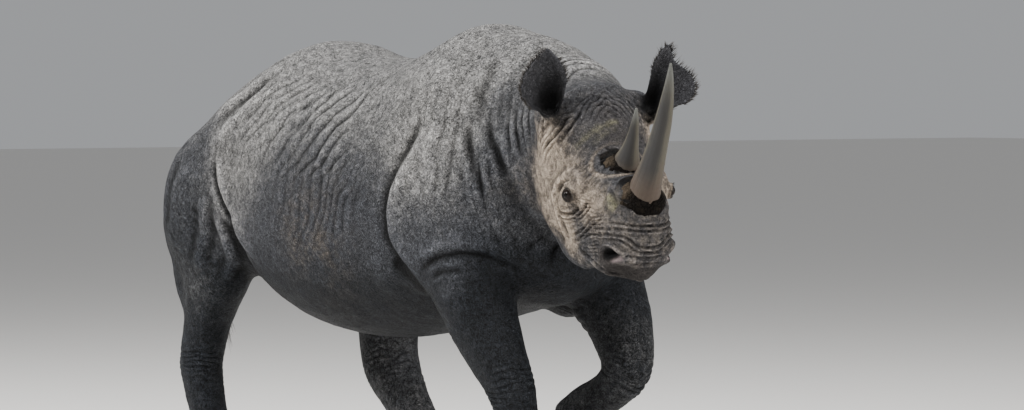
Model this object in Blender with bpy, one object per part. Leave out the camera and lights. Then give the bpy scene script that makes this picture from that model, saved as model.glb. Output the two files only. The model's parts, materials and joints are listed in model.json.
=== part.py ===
"""Black rhinoceros, life size, walking: one forefoot is lifted and the other three feet are planted.

The animal faces -Y and stands on Z = 0. Shapes of the body are given as (forward, left, up) in metres,
and shapes of the head in the head's own frame, as (along the skull, left, above the skull's axis).
Flesh is built from closed tubes and muscle masses, fused by a voxel remesh, then parted into head,
neck, trunk and legs along thin gaps. Horns, ears, eyes, toenails and tail are pieces of their own,
each standing in a socket that clears it by the same gap.
"""

from math import cos, pi, radians, sin
from typing import NamedTuple

import bmesh
import bpy
from mathutils import Matrix, Vector

# ---- Driving dimensions, metres and degrees ----
GAP = 0.0007  # between neighbouring pieces
FUSE_VOXEL = 0.0115
FUSE_SMOOTHING = 9
FLESH_TRIANGLES = 3540
BODY_SHARE = 0.007  # how much more readily the body is thinned than the head, 0 to 1

HEAD_AT = (1.095, -0.078, 1.20)  # the skull's axis where it meets the neck
HEAD_PITCH = 32.0  # the muzzle drops below level
HEAD_TURN = 16.0  # to the animal's right of its body
HEAD_ROLL = 2.0  # the right side hangs lower
RIGHT, LEFT = -1, 1
SIDES = (RIGHT, LEFT)
SIDE_NAMES = {RIGHT: "right", LEFT: "left"}


class Ring(NamedTuple):
    """One cross-section of a tube: its centre, half width, and reach to either side of the centre."""

    forward: float
    left: float
    up: float
    side: float
    over: float
    under: float


class Mass(NamedTuple):
    """An ellipsoid of muscle or bone: its centre, its three radii and a nose-down tilt in degrees."""

    at: tuple
    radii: tuple
    tilt: float = 0.0


class Limb(NamedTuple):
    """The joints of one leg as (forward, left, up), and how thick the leg is for its kind."""

    name: str
    sizes: list
    joints: list
    bulk: float = 1.0


class Root(NamedTuple):
    """Where a leg parts from the trunk: an arch over rows of (up, back, front, inner)."""

    limb: str
    rise: float
    rows: list


class Ear(NamedTuple):
    """One ear, in the head's frame: its root and tip, the way it opens, and the rows of its leaf.

    A row is (share of the length, half width towards the crown, half width away, half turn of the curl).
    """

    side: int
    root: tuple
    tip: tuple
    opening: tuple
    rows: list


# ---- Trunk and neck: rings from the rump forward; over is the back and under the belly ----
TRUNK = [
    Ring(-0.985, 0.0, 0.98, 0.10, 0.06, 0.13),
    Ring(-0.93, 0.0, 0.98, 0.19, 0.13, 0.225),
    Ring(-0.80, 0.0, 0.98, 0.298, 0.275, 0.25),
    Ring(-0.62, 0.0, 0.98, 0.365, 0.41, 0.265),
    Ring(-0.36, 0.0, 0.96, 0.392, 0.55, 0.328),
    Ring(-0.15, 0.0, 0.93, 0.435, 0.535, 0.385),
    Ring(0.08, 0.0, 0.91, 0.445, 0.532, 0.395),
    Ring(0.35, 0.0, 0.93, 0.425, 0.53, 0.375),
    Ring(0.64, 0.0, 0.97, 0.38, 0.595, 0.35),
    Ring(0.78, 0.0, 1.00, 0.34, 0.55, 0.35),
    Ring(0.91, 0.0, 1.03, 0.28, 0.44, 0.34),
    Ring(1.00, 0.0, 1.05, 0.17, 0.30, 0.26),
]
NECK = [
    Ring(0.62, 0.0, 1.12, 0.32, 0.42, 0.42),
    Ring(0.82, 0.0, 1.12, 0.285, 0.388, 0.37),
    Ring(0.96, -0.02, 1.13, 0.24, 0.335, 0.31),
    Ring(1.05, -0.05, 1.145, 0.20, 0.29, 0.275),
    Ring(1.12, -0.07, 1.14, 0.155, 0.235, 0.22),
]
# Masses of one side; left is positive and mirrored for the right side.
FLANK_MASSES = [
    Mass((0.62, 0.23, 1.12), (0.20, 0.13, 0.34), -12.0),  # shoulder blade
    Mass((0.62, 0.27, 0.86), (0.20, 0.125, 0.19)),  # triceps
    Mass((0.85, 0.18, 0.90), (0.13, 0.13, 0.18)),  # point of the shoulder
    Mass((-0.50, 0.21, 1.20), (0.17, 0.12, 0.13)),  # hip bone
    Mass((-0.69, 0.25, 0.93), (0.22, 0.14, 0.28)),  # haunch
    Mass((-0.42, 0.28, 0.85), (0.13, 0.085, 0.11)),  # fold of the flank
]
HAUNCHES = {
    RIGHT: [
        Mass((-0.852, 0.20, 0.88), (0.118, 0.122, 0.185)),  # buttock
        Mass((-0.795, 0.22, 0.71), (0.085, 0.105, 0.23), -16.0),  # hamstrings over the planted leg
    ],
    LEFT: [
        Mass((-0.855, 0.20, 0.93), (0.118, 0.125, 0.18)),
        Mass((-0.69, 0.235, 0.79), (0.27, 0.12, 0.165), 40.0),  # drawn forward with the reaching leg
        Mass((-0.50, 0.25, 0.78), (0.17, 0.12, 0.20)),
    ],
}
LEFT_ELBOW = Mass((0.66, 0.23, 0.665), (0.095, 0.09, 0.075))  # fold behind the raised foreleg
BRISKET = Mass((0.84, 0.0, 0.80), (0.16, 0.15, 0.158))

# ---- Legs: (across, front, back) at each joint from the trunk to the sole ----
FORELEG = [
    (0.125, 0.16, 0.17),
    (0.122, 0.14, 0.145),
    (0.10, 0.108, 0.11),
    (0.078, 0.084, 0.080),
    (0.064, 0.068, 0.068),
    (0.078, 0.082, 0.080),
    (0.104, 0.114, 0.104),
]
HINDLEG = [
    (0.13, 0.20, 0.185),
    (0.112, 0.145, 0.145),
    (0.082, 0.072, 0.095),
    (0.072, 0.076, 0.080),
    (0.065, 0.066, 0.062),
    (0.078, 0.080, 0.080),
    (0.102, 0.112, 0.100),
]
REACHING_HINDLEG = [
    (0.13, 0.20, 0.19),
    (0.125, 0.165, 0.17),
    (0.098, 0.124, 0.126),
    (0.086, 0.108, 0.110),
    (0.074, 0.082, 0.070),
    (0.082, 0.084, 0.086),
    (0.102, 0.112, 0.100),
]
LIMBS = [
    Limb(
        "right_foreleg",
        FORELEG,
        [
            (0.70, -0.25, 0.88),
            (0.76, -0.255, 0.70),
            (0.82, -0.225, 0.54),
            (0.88, -0.195, 0.395),
            (0.92, -0.187, 0.25),
            (0.945, -0.187, 0.11),
            (0.955, -0.187, 0.0),
        ],
        0.98,
    ),
    Limb(
        "left_foreleg",
        FORELEG,
        [
            (0.70, 0.22, 0.88),
            (0.80, 0.245, 0.72),
            (0.885, 0.252, 0.58),
            (0.94, 0.233, 0.44),
            (0.86, 0.218, 0.365),
            (0.785, 0.212, 0.318),
            (0.725, 0.21, 0.25),
        ],
    ),
    Limb(
        "right_hindleg",
        HINDLEG,
        [
            (-0.66, -0.24, 0.96),
            (-0.63, -0.26, 0.75),
            (-0.71, -0.245, 0.55),
            (-0.765, -0.24, 0.39),
            (-0.735, -0.23, 0.23),
            (-0.71, -0.23, 0.11),
            (-0.69, -0.23, 0.0),
        ],
    ),
    Limb(
        "left_hindleg",
        REACHING_HINDLEG,
        [
            (-0.60, 0.24, 0.96),
            (-0.45, 0.26, 0.76),
            (-0.35, 0.245, 0.57),
            (-0.305, 0.225, 0.405),
            (-0.175, 0.21, 0.25),
            (-0.05, 0.20, 0.12),
            (0.0, 0.20, 0.0),
        ],
    ),
]
SOLE_DEPTH = 0.04  # a planted leg runs this far into the floor before it is trimmed
ROOTS = [
    Root(
        "right_foreleg",
        0.13,
        [
            (0.70, 0.595, 0.955, 0.095),
            (0.58, 0.635, 0.985, 0.095),
            (0.48, 0.62, 1.08, 0.05),
            (-0.10, 0.45, 1.35, 0.02),
        ],
    ),
    Root(
        "left_foreleg",
        0.13,
        [
            (0.72, 0.62, 0.98, 0.095),
            (0.60, 0.68, 1.03, 0.095),
            (0.50, 0.66, 1.12, 0.05),
            (0.42, 0.52, 1.35, 0.03),
            (-0.10, 0.45, 1.35, 0.02),
        ],
    ),
    Root(
        "right_hindleg",
        0.22,
        [
            (0.90, -1.15, -0.36, 0.095),
            (0.72, -1.15, -0.33, 0.095),
            (0.60, -1.12, -0.42, 0.095),
            (0.48, -1.10, -0.40, 0.06),
            (-0.10, -1.10, -0.30, 0.03),
        ],
    ),
    Root(
        "left_hindleg",
        0.22,
        [
            (0.90, -1.15, -0.27, 0.095),
            (0.72, -1.12, -0.19, 0.095),
            (0.60, -1.05, -0.13, 0.095),
            (0.50, -0.95, -0.09, 0.06),
            (0.42, -0.90, 0.20, 0.03),
            (-0.10, -0.80, 0.40, 0.02),
        ],
    ),
]
ROOT_OUTER = 0.75  # beyond any leg
ARCH_STEPS = 5

# ---- Planes that part the neck: a point, and the direction it faces ----
NECK_FROM_TRUNK = ((0.87, 0.0, 1.16), (0.956, 0.0, 0.292))
HEAD_BOX_LOW = (-0.035, -0.20, -0.285)  # the head is what lies in this box of its own frame
HEAD_BOX_HIGH = (0.90, 0.20, 0.90)

# ---- Toenails, round each foot: (turn from the toe, half width, half height, half depth) ----
TOENAILS = {
    "inner": (-60.0, 0.038, 0.040, 0.020),
    "middle": (0.0, 0.050, 0.044, 0.020),
    "outer": (60.0, 0.038, 0.040, 0.020),
}
TOENAIL_RISE = 0.030  # of a nail's centre above the sole
TOENAIL_CLEAR = 0.004  # of a nail's lower edge above the sole

# ---- Tail ----
TAIL = [
    Ring(-0.86, 0.0, 1.14, 0.050, 0.050, 0.050),
    Ring(-0.955, 0.0, 1.115, 0.046, 0.044, 0.044),
    Ring(-1.025, 0.0, 1.03, 0.038, 0.034, 0.034),
    Ring(-1.045, 0.0, 0.90, 0.029, 0.026, 0.026),
    Ring(-1.04, 0.005, 0.76, 0.022, 0.020, 0.020),
    Ring(-1.03, 0.01, 0.66, 0.024, 0.018, 0.018),
    Ring(-1.025, 0.015, 0.58, 0.030, 0.018, 0.018),
    Ring(-1.02, 0.018, 0.52, 0.012, 0.008, 0.008),
]

# ---- Head, in its own frame: rings from the nape to the lip ----
HEAD = [
    Ring(-0.13, 0.0, -0.02, 0.135, 0.16, 0.165),
    Ring(-0.04, 0.0, -0.03, 0.160, 0.225, 0.215),
    Ring(0.03, 0.0, -0.04, 0.170, 0.268, 0.22),
    Ring(0.12, 0.0, -0.04, 0.168, 0.235, 0.22),
    Ring(0.21, 0.0, -0.04, 0.160, 0.19, 0.21),
    Ring(0.29, 0.0, -0.04, 0.151, 0.155, 0.20),
    Ring(0.37, 0.0, -0.045, 0.136, 0.152, 0.182),
    Ring(0.44, 0.0, -0.05, 0.120, 0.16, 0.157),
    Ring(0.50, 0.0, -0.055, 0.109, 0.15, 0.132),
    Ring(0.55, 0.0, -0.065, 0.103, 0.105, 0.106),
    Ring(0.585, 0.0, -0.085, 0.081, 0.055, 0.070),
    Ring(0.607, 0.0, -0.105, 0.048, 0.03, 0.033),
]
HEAD_MASSES = [
    Mass((0.32, 0.130, 0.012), (0.070, 0.046, 0.052)),  # orbit
    Mass((0.17, 0.100, -0.125), (0.17, 0.065, 0.125)),  # cheek
    Mass((0.27, 0.085, -0.193), (0.17, 0.055, 0.080)),  # angle of the jaw
    Mass((0.42, 0.050, -0.160), (0.13, 0.058, 0.048)),  # jaw beside the mouth
    Mass((0.533, 0.074, -0.092), (0.050, 0.040, 0.050)),  # nostril's wing
    Mass((0.035, 0.137, 0.10), (0.060, 0.058, 0.080)),  # root of the ear
    Mass((0.10, 0.130, 0.035), (0.085, 0.055, 0.070)),  # temple
]
HEAD_MIDDLE_MASSES = [
    Mass((0.49, 0.0, 0.06), (0.085, 0.090, 0.065)),  # boss of the front horn
    Mass((0.335, 0.0, 0.075), (0.075, 0.075, 0.052)),  # boss of the rear horn
    Mass((0.574, 0.0, -0.118), (0.046, 0.062, 0.043)),  # upper lip
    Mass((0.475, 0.0, -0.165), (0.085, 0.072, 0.033)),  # lower lip
]
FRONT_HORN = [  # along, above, radius across, radius along
    (0.497, 0.06, 0.050, 0.060),
    (0.503, 0.13, 0.046, 0.054),
    (0.512, 0.20, 0.038, 0.043),
    (0.519, 0.29, 0.031, 0.034),
    (0.522, 0.38, 0.026, 0.028),
    (0.514, 0.47, 0.018, 0.019),
    (0.500, 0.53, 0.010, 0.010),
    (0.488, 0.565, 0.0035, 0.0035),
]
REAR_HORN = [
    (0.337, 0.065, 0.050, 0.055),
    (0.342, 0.12, 0.040, 0.043),
    (0.345, 0.17, 0.026, 0.028),
    (0.344, 0.22, 0.017, 0.018),
    (0.337, 0.27, 0.010, 0.010),
    (0.328, 0.303, 0.004, 0.004),
]
EYE_AT = (0.335, 0.163, 0.0)
EYE_RADIUS = 0.022
NOSTRIL = Mass((0.558, 0.098, -0.072), (0.026, 0.022, 0.016))
MOUTH = Mass((0.50, 0.0, -0.150), (0.14, 0.16, 0.0045))
MOUTH_DEPTH = 0.016

# ---- Ears ----
EARS = [
    Ear(
        RIGHT,
        (0.062, -0.150, 0.115),
        (0.035, -0.197, 0.341),
        (0.97, -0.22, 0.10),
        [
            (-0.10, 0.042, 0.042, 150),
            (0.04, 0.046, 0.052, 140),
            (0.12, 0.050, 0.078, 122),
            (0.20, 0.056, 0.078, 108),  # a nick in the outer edge
            (0.27, 0.060, 0.112, 98),
            (0.45, 0.070, 0.130, 80),
            (0.60, 0.074, 0.124, 68),
            (0.75, 0.062, 0.098, 60),
            (0.88, 0.040, 0.056, 50),
            (1.0, 0.006, 0.008, 20),
        ],
    ),
    Ear(
        LEFT,
        (0.062, 0.180, 0.105),
        (0.035, 0.212, 0.345),
        (0.88, -0.42, 0.10),
        [
            (-0.10, 0.046, 0.046, 150),
            (0.02, 0.058, 0.060, 140),
            (0.10, 0.056, 0.098, 118),
            (0.18, 0.050, 0.118, 98),
            (0.26, 0.042, 0.090, 82),  # a nick in the outer edge
            (0.36, 0.038, 0.128, 74),
            (0.50, 0.038, 0.150, 66),
            (0.64, 0.042, 0.140, 60),
            (0.74, 0.038, 0.110, 55),
            (0.80, 0.033, 0.036, 50),  # a tear beside the tip
            (0.90, 0.022, 0.016, 40),
            (1.0, 0.010, 0.002, 20),
        ],
    ),
]
EAR_COLUMNS = 6
EAR_WALL = 0.009
EAR_LIFT = 0.0012  # of the parted ear off the head

FINISHES = {
    "hide": ((0.115, 0.112, 0.108), 0.85),
    "face": ((0.15, 0.135, 0.12), 0.8),
    "leg": ((0.075, 0.08, 0.09), 0.85),
    "ear": ((0.05, 0.05, 0.052), 0.85),
    "horn": ((0.20, 0.18, 0.13), 0.5),
    "nail": ((0.11, 0.095, 0.075), 0.55),
    "eye": ((0.02, 0.015, 0.012), 0.12),
    "tail": ((0.09, 0.088, 0.085), 0.85),
}


def at(forward, left, up):
    """A point of the body's frame in world axes."""
    return Vector((left, -forward, up))


HEAD_FRAME = (
    Matrix.Translation(at(*HEAD_AT))
    @ Matrix.Rotation(-radians(HEAD_TURN), 4, "Z")
    @ Matrix.Rotation(radians(HEAD_PITCH), 4, "X")
    @ Matrix.Rotation(-radians(HEAD_ROLL), 4, "Y")
)


# ---- Plain shapes ----
def clear_scene():
    for obj in list(bpy.data.objects):
        bpy.data.objects.remove(obj, do_unlink=True)


def add_object(name, bm):
    """A new object holding this bmesh's shape."""
    mesh = bpy.data.meshes.new(name)
    bm.to_mesh(mesh)
    bm.free()
    obj = bpy.data.objects.new(name, mesh)
    bpy.context.scene.collection.objects.link(obj)
    return obj


def remove(*objects):
    for obj in objects:
        bpy.data.objects.remove(obj, do_unlink=True)


def copy_of(obj, name):
    made = obj.copy()
    made.data = obj.data.copy()
    made.name = name
    bpy.context.scene.collection.objects.link(made)
    return made


def apply_modifiers(obj):
    """Makes the object's evaluated shape its own mesh."""
    graph = bpy.context.evaluated_depsgraph_get()
    mesh = bpy.data.meshes.new_from_object(obj.evaluated_get(graph))
    obj.modifiers.clear()
    obj.data = mesh


def catmull_rom(rows, steps):
    """Rows on a smooth curve through the given rows, with this many spans between two of them."""
    first = [2 * a - b for a, b in zip(rows[0], rows[1])]
    last = [2 * a - b for a, b in zip(rows[-1], rows[-2])]
    padded = [first, *rows, last]
    made = []
    for i in range(1, len(padded) - 2):
        for step in range(steps):
            t = step / steps
            weights = (
                -0.5 * t + t**2 - 0.5 * t**3,
                1.0 - 2.5 * t**2 + 1.5 * t**3,
                0.5 * t + 2.0 * t**2 - 1.5 * t**3,
                -0.5 * t**2 + 0.5 * t**3,
            )
            columns = zip(*padded[i - 1 : i + 3])
            made.append([sum(w * v for w, v in zip(weights, column)) for column in columns])
    return [*made, list(rows[-1])]


def rounded(angle, power):
    """A point of a superellipse of half sizes 1."""
    c, s = cos(angle), sin(angle)
    return (
        abs(c) ** (2 / power) * (1 if c > 0 else -1),
        abs(s) ** (2 / power) * (1 if s > 0 else -1),
    )


def loft(name, loops):
    """A closed solid through loops of points, all with the same count."""
    bm = bmesh.new()
    rows = [[bm.verts.new(point) for point in loop] for loop in loops]
    count = len(rows[0])
    for a, b in zip(rows, rows[1:]):
        for k in range(count):
            bm.faces.new((a[k], a[(k + 1) % count], b[(k + 1) % count], b[k]))
    bm.faces.new(reversed(rows[0]))
    bm.faces.new(rows[-1])
    bmesh.ops.recalc_face_normals(bm, faces=bm.faces)
    return add_object(name, bm)


def tube(name, rings, facing, sides=20, steps=3, power=2.2, grow=0.0):
    """A closed tube through the rings. Over is measured towards facing, and grow widens every ring."""
    rows = [Ring(*row) for row in catmull_rom(rings, steps)]
    centres = [at(row.forward, row.left, row.up) for row in rows]
    loops = []
    for i, row in enumerate(rows):
        along = (centres[min(i + 1, len(rows) - 1)] - centres[max(i - 1, 0)]).normalized()
        over = (facing - along * facing.dot(along)).normalized()
        side = over.cross(along)
        centre = centres[i]
        if grow and i in (0, len(rows) - 1):
            centre = centre + along * (grow if i else -grow)
        loop = []
        for k in range(sides):
            x, y = rounded(2 * pi * k / sides, power)
            reach = (row.over if y > 0 else row.under) + grow
            loop.append(centre + side * x * (row.side + grow) + over * y * reach)
        loops.append(loop)
    return loft(name, loops)


def ellipsoid(name, mass, side=LEFT, segments=16, grow=0.0):
    """A ball stretched to the mass's radii, on the side asked for."""
    forward, left, up = mass.at
    along, across, high = (radius + grow for radius in mass.radii)
    bm = bmesh.new()
    bmesh.ops.create_uvsphere(bm, u_segments=segments, v_segments=segments // 2, radius=1.0)
    bmesh.ops.scale(bm, vec=(across, along, high), verts=bm.verts)
    bmesh.ops.rotate(bm, matrix=Matrix.Rotation(radians(mass.tilt), 3, "X"), verts=bm.verts)
    bmesh.ops.translate(bm, vec=at(forward, left * side, up), verts=bm.verts)
    return add_object(name, bm)


# ---- Joining and cutting ----
def cut(obj, cutter, operation="DIFFERENCE"):
    """Cuts the object with the cutter, exactly."""
    boolean = obj.modifiers.new("cut", "BOOLEAN")
    boolean.operation = operation
    boolean.object = cutter
    boolean.solver = "EXACT"
    apply_modifiers(obj)


def cut_away(obj, cutter):
    """Cuts the object with a cutter that is not needed again."""
    cut(obj, cutter)
    remove(cutter)


def half_space(name, point, normal):
    """A box so large that only its one face, through the point, meets the animal."""
    size = 4.0
    bm = bmesh.new()
    bmesh.ops.create_cube(bm, size=size)
    turn = normal.to_track_quat("Z", "Y").to_matrix()
    bmesh.ops.rotate(bm, matrix=turn, verts=bm.verts)
    bmesh.ops.translate(bm, vec=point + normal * (size / 2), verts=bm.verts)
    return add_object(name, bm)


def trim_below(obj, height=0.0):
    """Cuts the object flat at this height and closes it."""
    bm = bmesh.new()
    bm.from_mesh(obj.data)
    bmesh.ops.bisect_plane(
        bm,
        geom=[*bm.verts, *bm.edges, *bm.faces],
        dist=1e-6,
        plane_co=(0, 0, height),
        plane_no=(0, 0, 1),
        clear_inner=True,
    )
    bmesh.ops.holes_fill(bm, edges=[edge for edge in bm.edges if edge.is_boundary])
    bmesh.ops.triangulate(bm, faces=bm.faces)
    bm.to_mesh(obj.data)
    bm.free()


def thin(obj, triangles):
    """Thins the fused flesh to about this many triangles, keeping more of them on the head."""
    to_head = HEAD_FRAME.inverted()
    group = obj.vertex_groups.new(name="readily thinned")
    for vertex in obj.data.vertices:
        on_head = (to_head @ vertex.co).y < -HEAD_BOX_LOW[0]
        in_box = on_head and (to_head @ vertex.co).z > HEAD_BOX_LOW[2]
        group.add([vertex.index], 1.0 - BODY_SHARE if in_box else 1.0, "REPLACE")
    decimate = obj.modifiers.new("thin", "DECIMATE")
    decimate.ratio = triangles / (2 * len(obj.data.polygons))
    decimate.vertex_group = group.name
    decimate.vertex_group_factor = 1.0
    decimate.use_collapse_triangulate = True
    apply_modifiers(obj)
    obj.vertex_groups.clear()


def fuse(name, pieces):
    """One smooth skin round all the pieces."""
    bm = bmesh.new()
    for piece in pieces:
        bm.from_mesh(piece.data)
    remove(*pieces)
    obj = add_object(name, bm)
    remesh = obj.modifiers.new("fuse", "REMESH")
    remesh.mode = "VOXEL"
    remesh.voxel_size = FUSE_VOXEL
    smooth = obj.modifiers.new("smooth", "SMOOTH")
    smooth.factor = 0.5
    smooth.iterations = FUSE_SMOOTHING
    apply_modifiers(obj)
    return obj


# ---- Flesh ----
def limb_rings(limb):
    """The rings of a leg, from inside the trunk to the sole, or on into the floor if it is planted."""
    rings = [Ring(*joint, *(limb.bulk * size for size in row)) for joint, row in zip(limb.joints, limb.sizes)]
    foot = rings[-1]
    if foot.up == 0.0:
        foot = foot._replace(side=limb.sizes[-1][0], over=limb.sizes[-1][1], under=limb.sizes[-1][2])
        rings[-1:] = [foot, foot._replace(up=-SOLE_DEPTH)]
    return rings


def head_pieces():
    """The closed shapes of the head's flesh, in place."""
    pieces = [tube("head_tube", HEAD, Vector((0, 0, 1)), sides=28, power=2.35)]
    for side in SIDES:
        pieces += [ellipsoid("mass", mass, side) for mass in HEAD_MASSES]
    pieces += [ellipsoid("mass", mass) for mass in HEAD_MIDDLE_MASSES]
    for piece in pieces:
        piece.data.transform(HEAD_FRAME)
    return pieces


def build_flesh():
    """Head, neck, trunk and legs as one skin, flat under the planted feet."""
    up, forward = Vector((0, 0, 1)), at(1, 0, 0)
    pieces = [
        tube("trunk_tube", TRUNK, up, sides=28, power=2.15),
        tube("neck_tube", NECK, up, sides=24, power=2.1),
        ellipsoid("brisket", BRISKET),
        ellipsoid("elbow", LEFT_ELBOW),
    ]
    for side in SIDES:
        pieces += [ellipsoid("mass", mass, side) for mass in FLANK_MASSES + HAUNCHES[side]]
    pieces += [tube(limb.name, limb_rings(limb), forward) for limb in LIMBS]
    flesh = fuse("flesh", pieces + head_pieces())
    thin(flesh, FLESH_TRIANGLES)
    trim_below(flesh)
    return flesh


def root_region(root, grow=0.0):
    """The space a leg is parted from the trunk in: rows below, and an arch over the top one."""
    side = LEFT if root.limb.startswith("left") else RIGHT
    top, back, front, inner = root.rows[0]
    middle, reach = (back + front) / 2, (front - back) / 2
    arch = []
    for k in range(ARCH_STEPS, 0, -1):
        angle = 0.5 * pi * (k - 0.25) / ARCH_STEPS
        arch.append((top + root.rise * sin(angle), middle - reach * cos(angle), middle + reach * cos(angle), inner))
    loops = []
    for up, low, high, near in arch + root.rows:
        rise = up + grow if up > top else up
        near, far = side * (near - grow), side * (ROOT_OUTER + grow)
        low, high = low - grow, high + grow
        loops.append([at(low, near, rise), at(high, near, rise), at(high, far, rise), at(low, far, rise)])
    return loft("root_region", loops)


def head_region(grow=0.0):
    """The box of the head's own frame that holds the head."""
    low = [value - grow for value in HEAD_BOX_LOW]
    high = [value + grow for value in HEAD_BOX_HIGH]
    loops = [
        [at(f, low[1], low[2]), at(f, high[1], low[2]), at(f, high[1], high[2]), at(f, low[1], high[2])]
        for f in (low[0], high[0])
    ]
    region = loft("head_region", loops)
    region.data.transform(HEAD_FRAME)
    return region


def part_off(flesh, name, region, grown):
    """Takes what lies in the region off the flesh, as a piece of its own, and leaves a gap."""
    piece = copy_of(flesh, name)
    cut(piece, region, "INTERSECT")
    cut_away(flesh, grown)
    remove(region)
    return piece


def part_flesh(flesh):
    """Parts the flesh into its named pieces."""
    pieces = {"head": part_off(flesh, "head", head_region(), head_region(GAP))}
    for root in ROOTS:
        pieces[root.limb] = part_off(flesh, root.limb, root_region(root), root_region(root, GAP))
    point, normal = at(*NECK_FROM_TRUNK[0]), at(*NECK_FROM_TRUNK[1]).normalized()
    pieces["neck"] = part_off(
        flesh,
        "neck",
        half_space("front", point + normal * GAP, normal),
        half_space("front_grown", point, normal),
    )
    flesh.name = "trunk"
    pieces["trunk"] = flesh
    return pieces


# ---- Horns, eyes, ears and openings of the head ----
def horn(name, rows, grow=0.0):
    rings = [Ring(along, 0.0, above, across, reach, reach) for along, above, across, reach in rows]
    obj = tube(name, rings, at(1, 0, 0), sides=12, steps=2, power=2.0, grow=grow)
    obj.data.transform(HEAD_FRAME)
    return obj


def eyeball(name, side, grow=0.0):
    obj = ellipsoid(name, Mass(EYE_AT, (EYE_RADIUS,) * 3), side, segments=12, grow=grow)
    obj.data.transform(HEAD_FRAME)
    return obj


def mouth_cutter():
    """A thin slit round the muzzle that stops a little way in."""
    slit = ellipsoid("mouth_slit", MOUTH, segments=20)
    core = tube("mouth_core", HEAD, Vector((0, 0, 1)), sides=16, steps=1, power=2.35, grow=-MOUTH_DEPTH)
    cut_away(slit, core)
    slit.data.transform(HEAD_FRAME)
    return slit


def open_head(head):
    """Cuts the nostrils and the line of the mouth."""
    for side in SIDES:
        hollow = ellipsoid("nostril", NOSTRIL, side, segments=12)
        hollow.data.transform(HEAD_FRAME)
        cut_away(head, hollow)
    cut_away(head, mouth_cutter())


def ear_sheet(ear):
    """The leaf of an ear, rolled to a tube at its root and open towards the front."""
    root, tip = (HEAD_FRAME @ at(*point) for point in (ear.root, ear.tip))
    axis = tip - root
    length = axis.length
    axis.normalize()
    look = HEAD_FRAME.to_3x3() @ at(*ear.opening)
    look = (look - axis * look.dot(axis)).normalized()
    away = axis.cross(look)
    if away.dot(HEAD_FRAME.to_3x3() @ at(0, ear.side, 0)) < 0:
        away.negate()
    bm = bmesh.new()
    grid = []
    for share, near, far, curl in ear.rows:
        row = []
        for k in range(EAR_COLUMNS + 1):
            s = 2 * k / EAR_COLUMNS - 1
            angle = radians(curl) * s
            radius = (far if s > 0 else near) / radians(curl)
            offset = away * radius * sin(angle) + look * radius * (1 - cos(angle))
            row.append(bm.verts.new(root + axis * (share * length) + offset))
        grid.append(row)
    for a, b in zip(grid, grid[1:]):
        for k in range(EAR_COLUMNS):
            bm.faces.new((a[k], a[k + 1], b[k + 1], b[k]))
    bmesh.ops.recalc_face_normals(bm, faces=bm.faces)
    return bm, axis


def build_ear(ear, head):
    """An ear with a wall, standing just clear of the head it grows from."""
    bm, axis = ear_sheet(ear)
    obj = add_object(f"{SIDE_NAMES[ear.side]}_ear", bm)
    wall = obj.modifiers.new("wall", "SOLIDIFY")
    wall.thickness = EAR_WALL
    wall.offset = 0.0
    apply_modifiers(obj)
    cut(obj, head)
    obj.data.transform(Matrix.Translation(axis * EAR_LIFT))
    return obj


def build_head_pieces(head):
    """Everything that stands on or in the head."""
    pieces = {f"{SIDE_NAMES[ear.side]}_ear": build_ear(ear, head) for ear in EARS}
    open_head(head)
    for name, rows in (("front_horn", FRONT_HORN), ("rear_horn", REAR_HORN)):
        cut_away(head, horn("socket", rows, GAP))
        pieces[name] = horn(name, rows)
    for side in SIDES:
        name = f"{SIDE_NAMES[side]}_eye"
        cut_away(head, eyeball("socket", side, GAP))
        pieces[name] = eyeball(name, side)
    return pieces


# ---- Toenails and tail ----
def foot_frame(limb):
    """Axes at the middle of a sole: across to the left, out of the heel, and up the leg."""
    here, above = at(*limb.joints[-1]), at(*limb.joints[-2])
    up = Vector((0, 0, 1)) if here.z == 0.0 else (above - here).normalized()
    toe = at(1, 0, 0)
    toe = (toe - up * toe.dot(up)).normalized()
    frame = Matrix((up.cross(toe), -toe, up)).transposed().to_4x4()
    frame.translation = here
    return frame


def toenail(limb, which, grow=0.0):
    """A half ball of horn set into the front of the foot, level underneath."""
    turn, half_width, half_height, half_depth = TOENAILS[which]
    side = LEFT if limb.name.startswith("left") else RIGHT
    turn = radians(turn) * side
    across, front, _ = limb.sizes[-1]
    reach = Vector((across * sin(turn), -front * cos(turn), 0.0)) * 0.93
    bm = bmesh.new()
    bmesh.ops.create_uvsphere(bm, u_segments=8, v_segments=4, radius=1.0)
    bmesh.ops.scale(bm, vec=(half_width + grow, half_depth + grow, half_height + grow), verts=bm.verts)
    bmesh.ops.rotate(bm, matrix=Matrix.Rotation(turn, 3, "Z"), verts=bm.verts)
    bmesh.ops.translate(bm, vec=reach + Vector((0, 0, TOENAIL_RISE)), verts=bm.verts)
    obj = add_object(f"{limb.name}_toenail_{which}", bm)
    trim_below(obj, TOENAIL_CLEAR - grow)
    obj.data.transform(foot_frame(limb))
    return obj


def build_toenails(legs):
    """Three nails on each foot, each in a socket."""
    pieces = {}
    for limb in LIMBS:
        for which in TOENAILS:
            cut_away(legs[limb.name], toenail(limb, which, GAP))
            nail = toenail(limb, which)
            pieces[nail.name] = nail
    return pieces


def build_tail(trunk):
    """The tail hangs from a socket in the rump."""
    facing = at(-1, 0, 0)
    cut_away(trunk, tube("socket", TAIL, facing, sides=8, steps=2, power=2.0, grow=GAP))
    return tube("tail", TAIL, facing, sides=8, steps=2, power=2.0)


# ---- Finishing ----
def finish_of(name):
    """Which finish a piece wears."""
    for word in ("toenail", "horn", "eye", "ear", "leg", "tail"):
        if name.endswith(f"_{word}") or word == name or f"_{word}_" in name:
            return "nail" if word == "toenail" else word
    if name.endswith("leg"):
        return "leg"
    return "face" if name == "head" else "hide"


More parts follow.
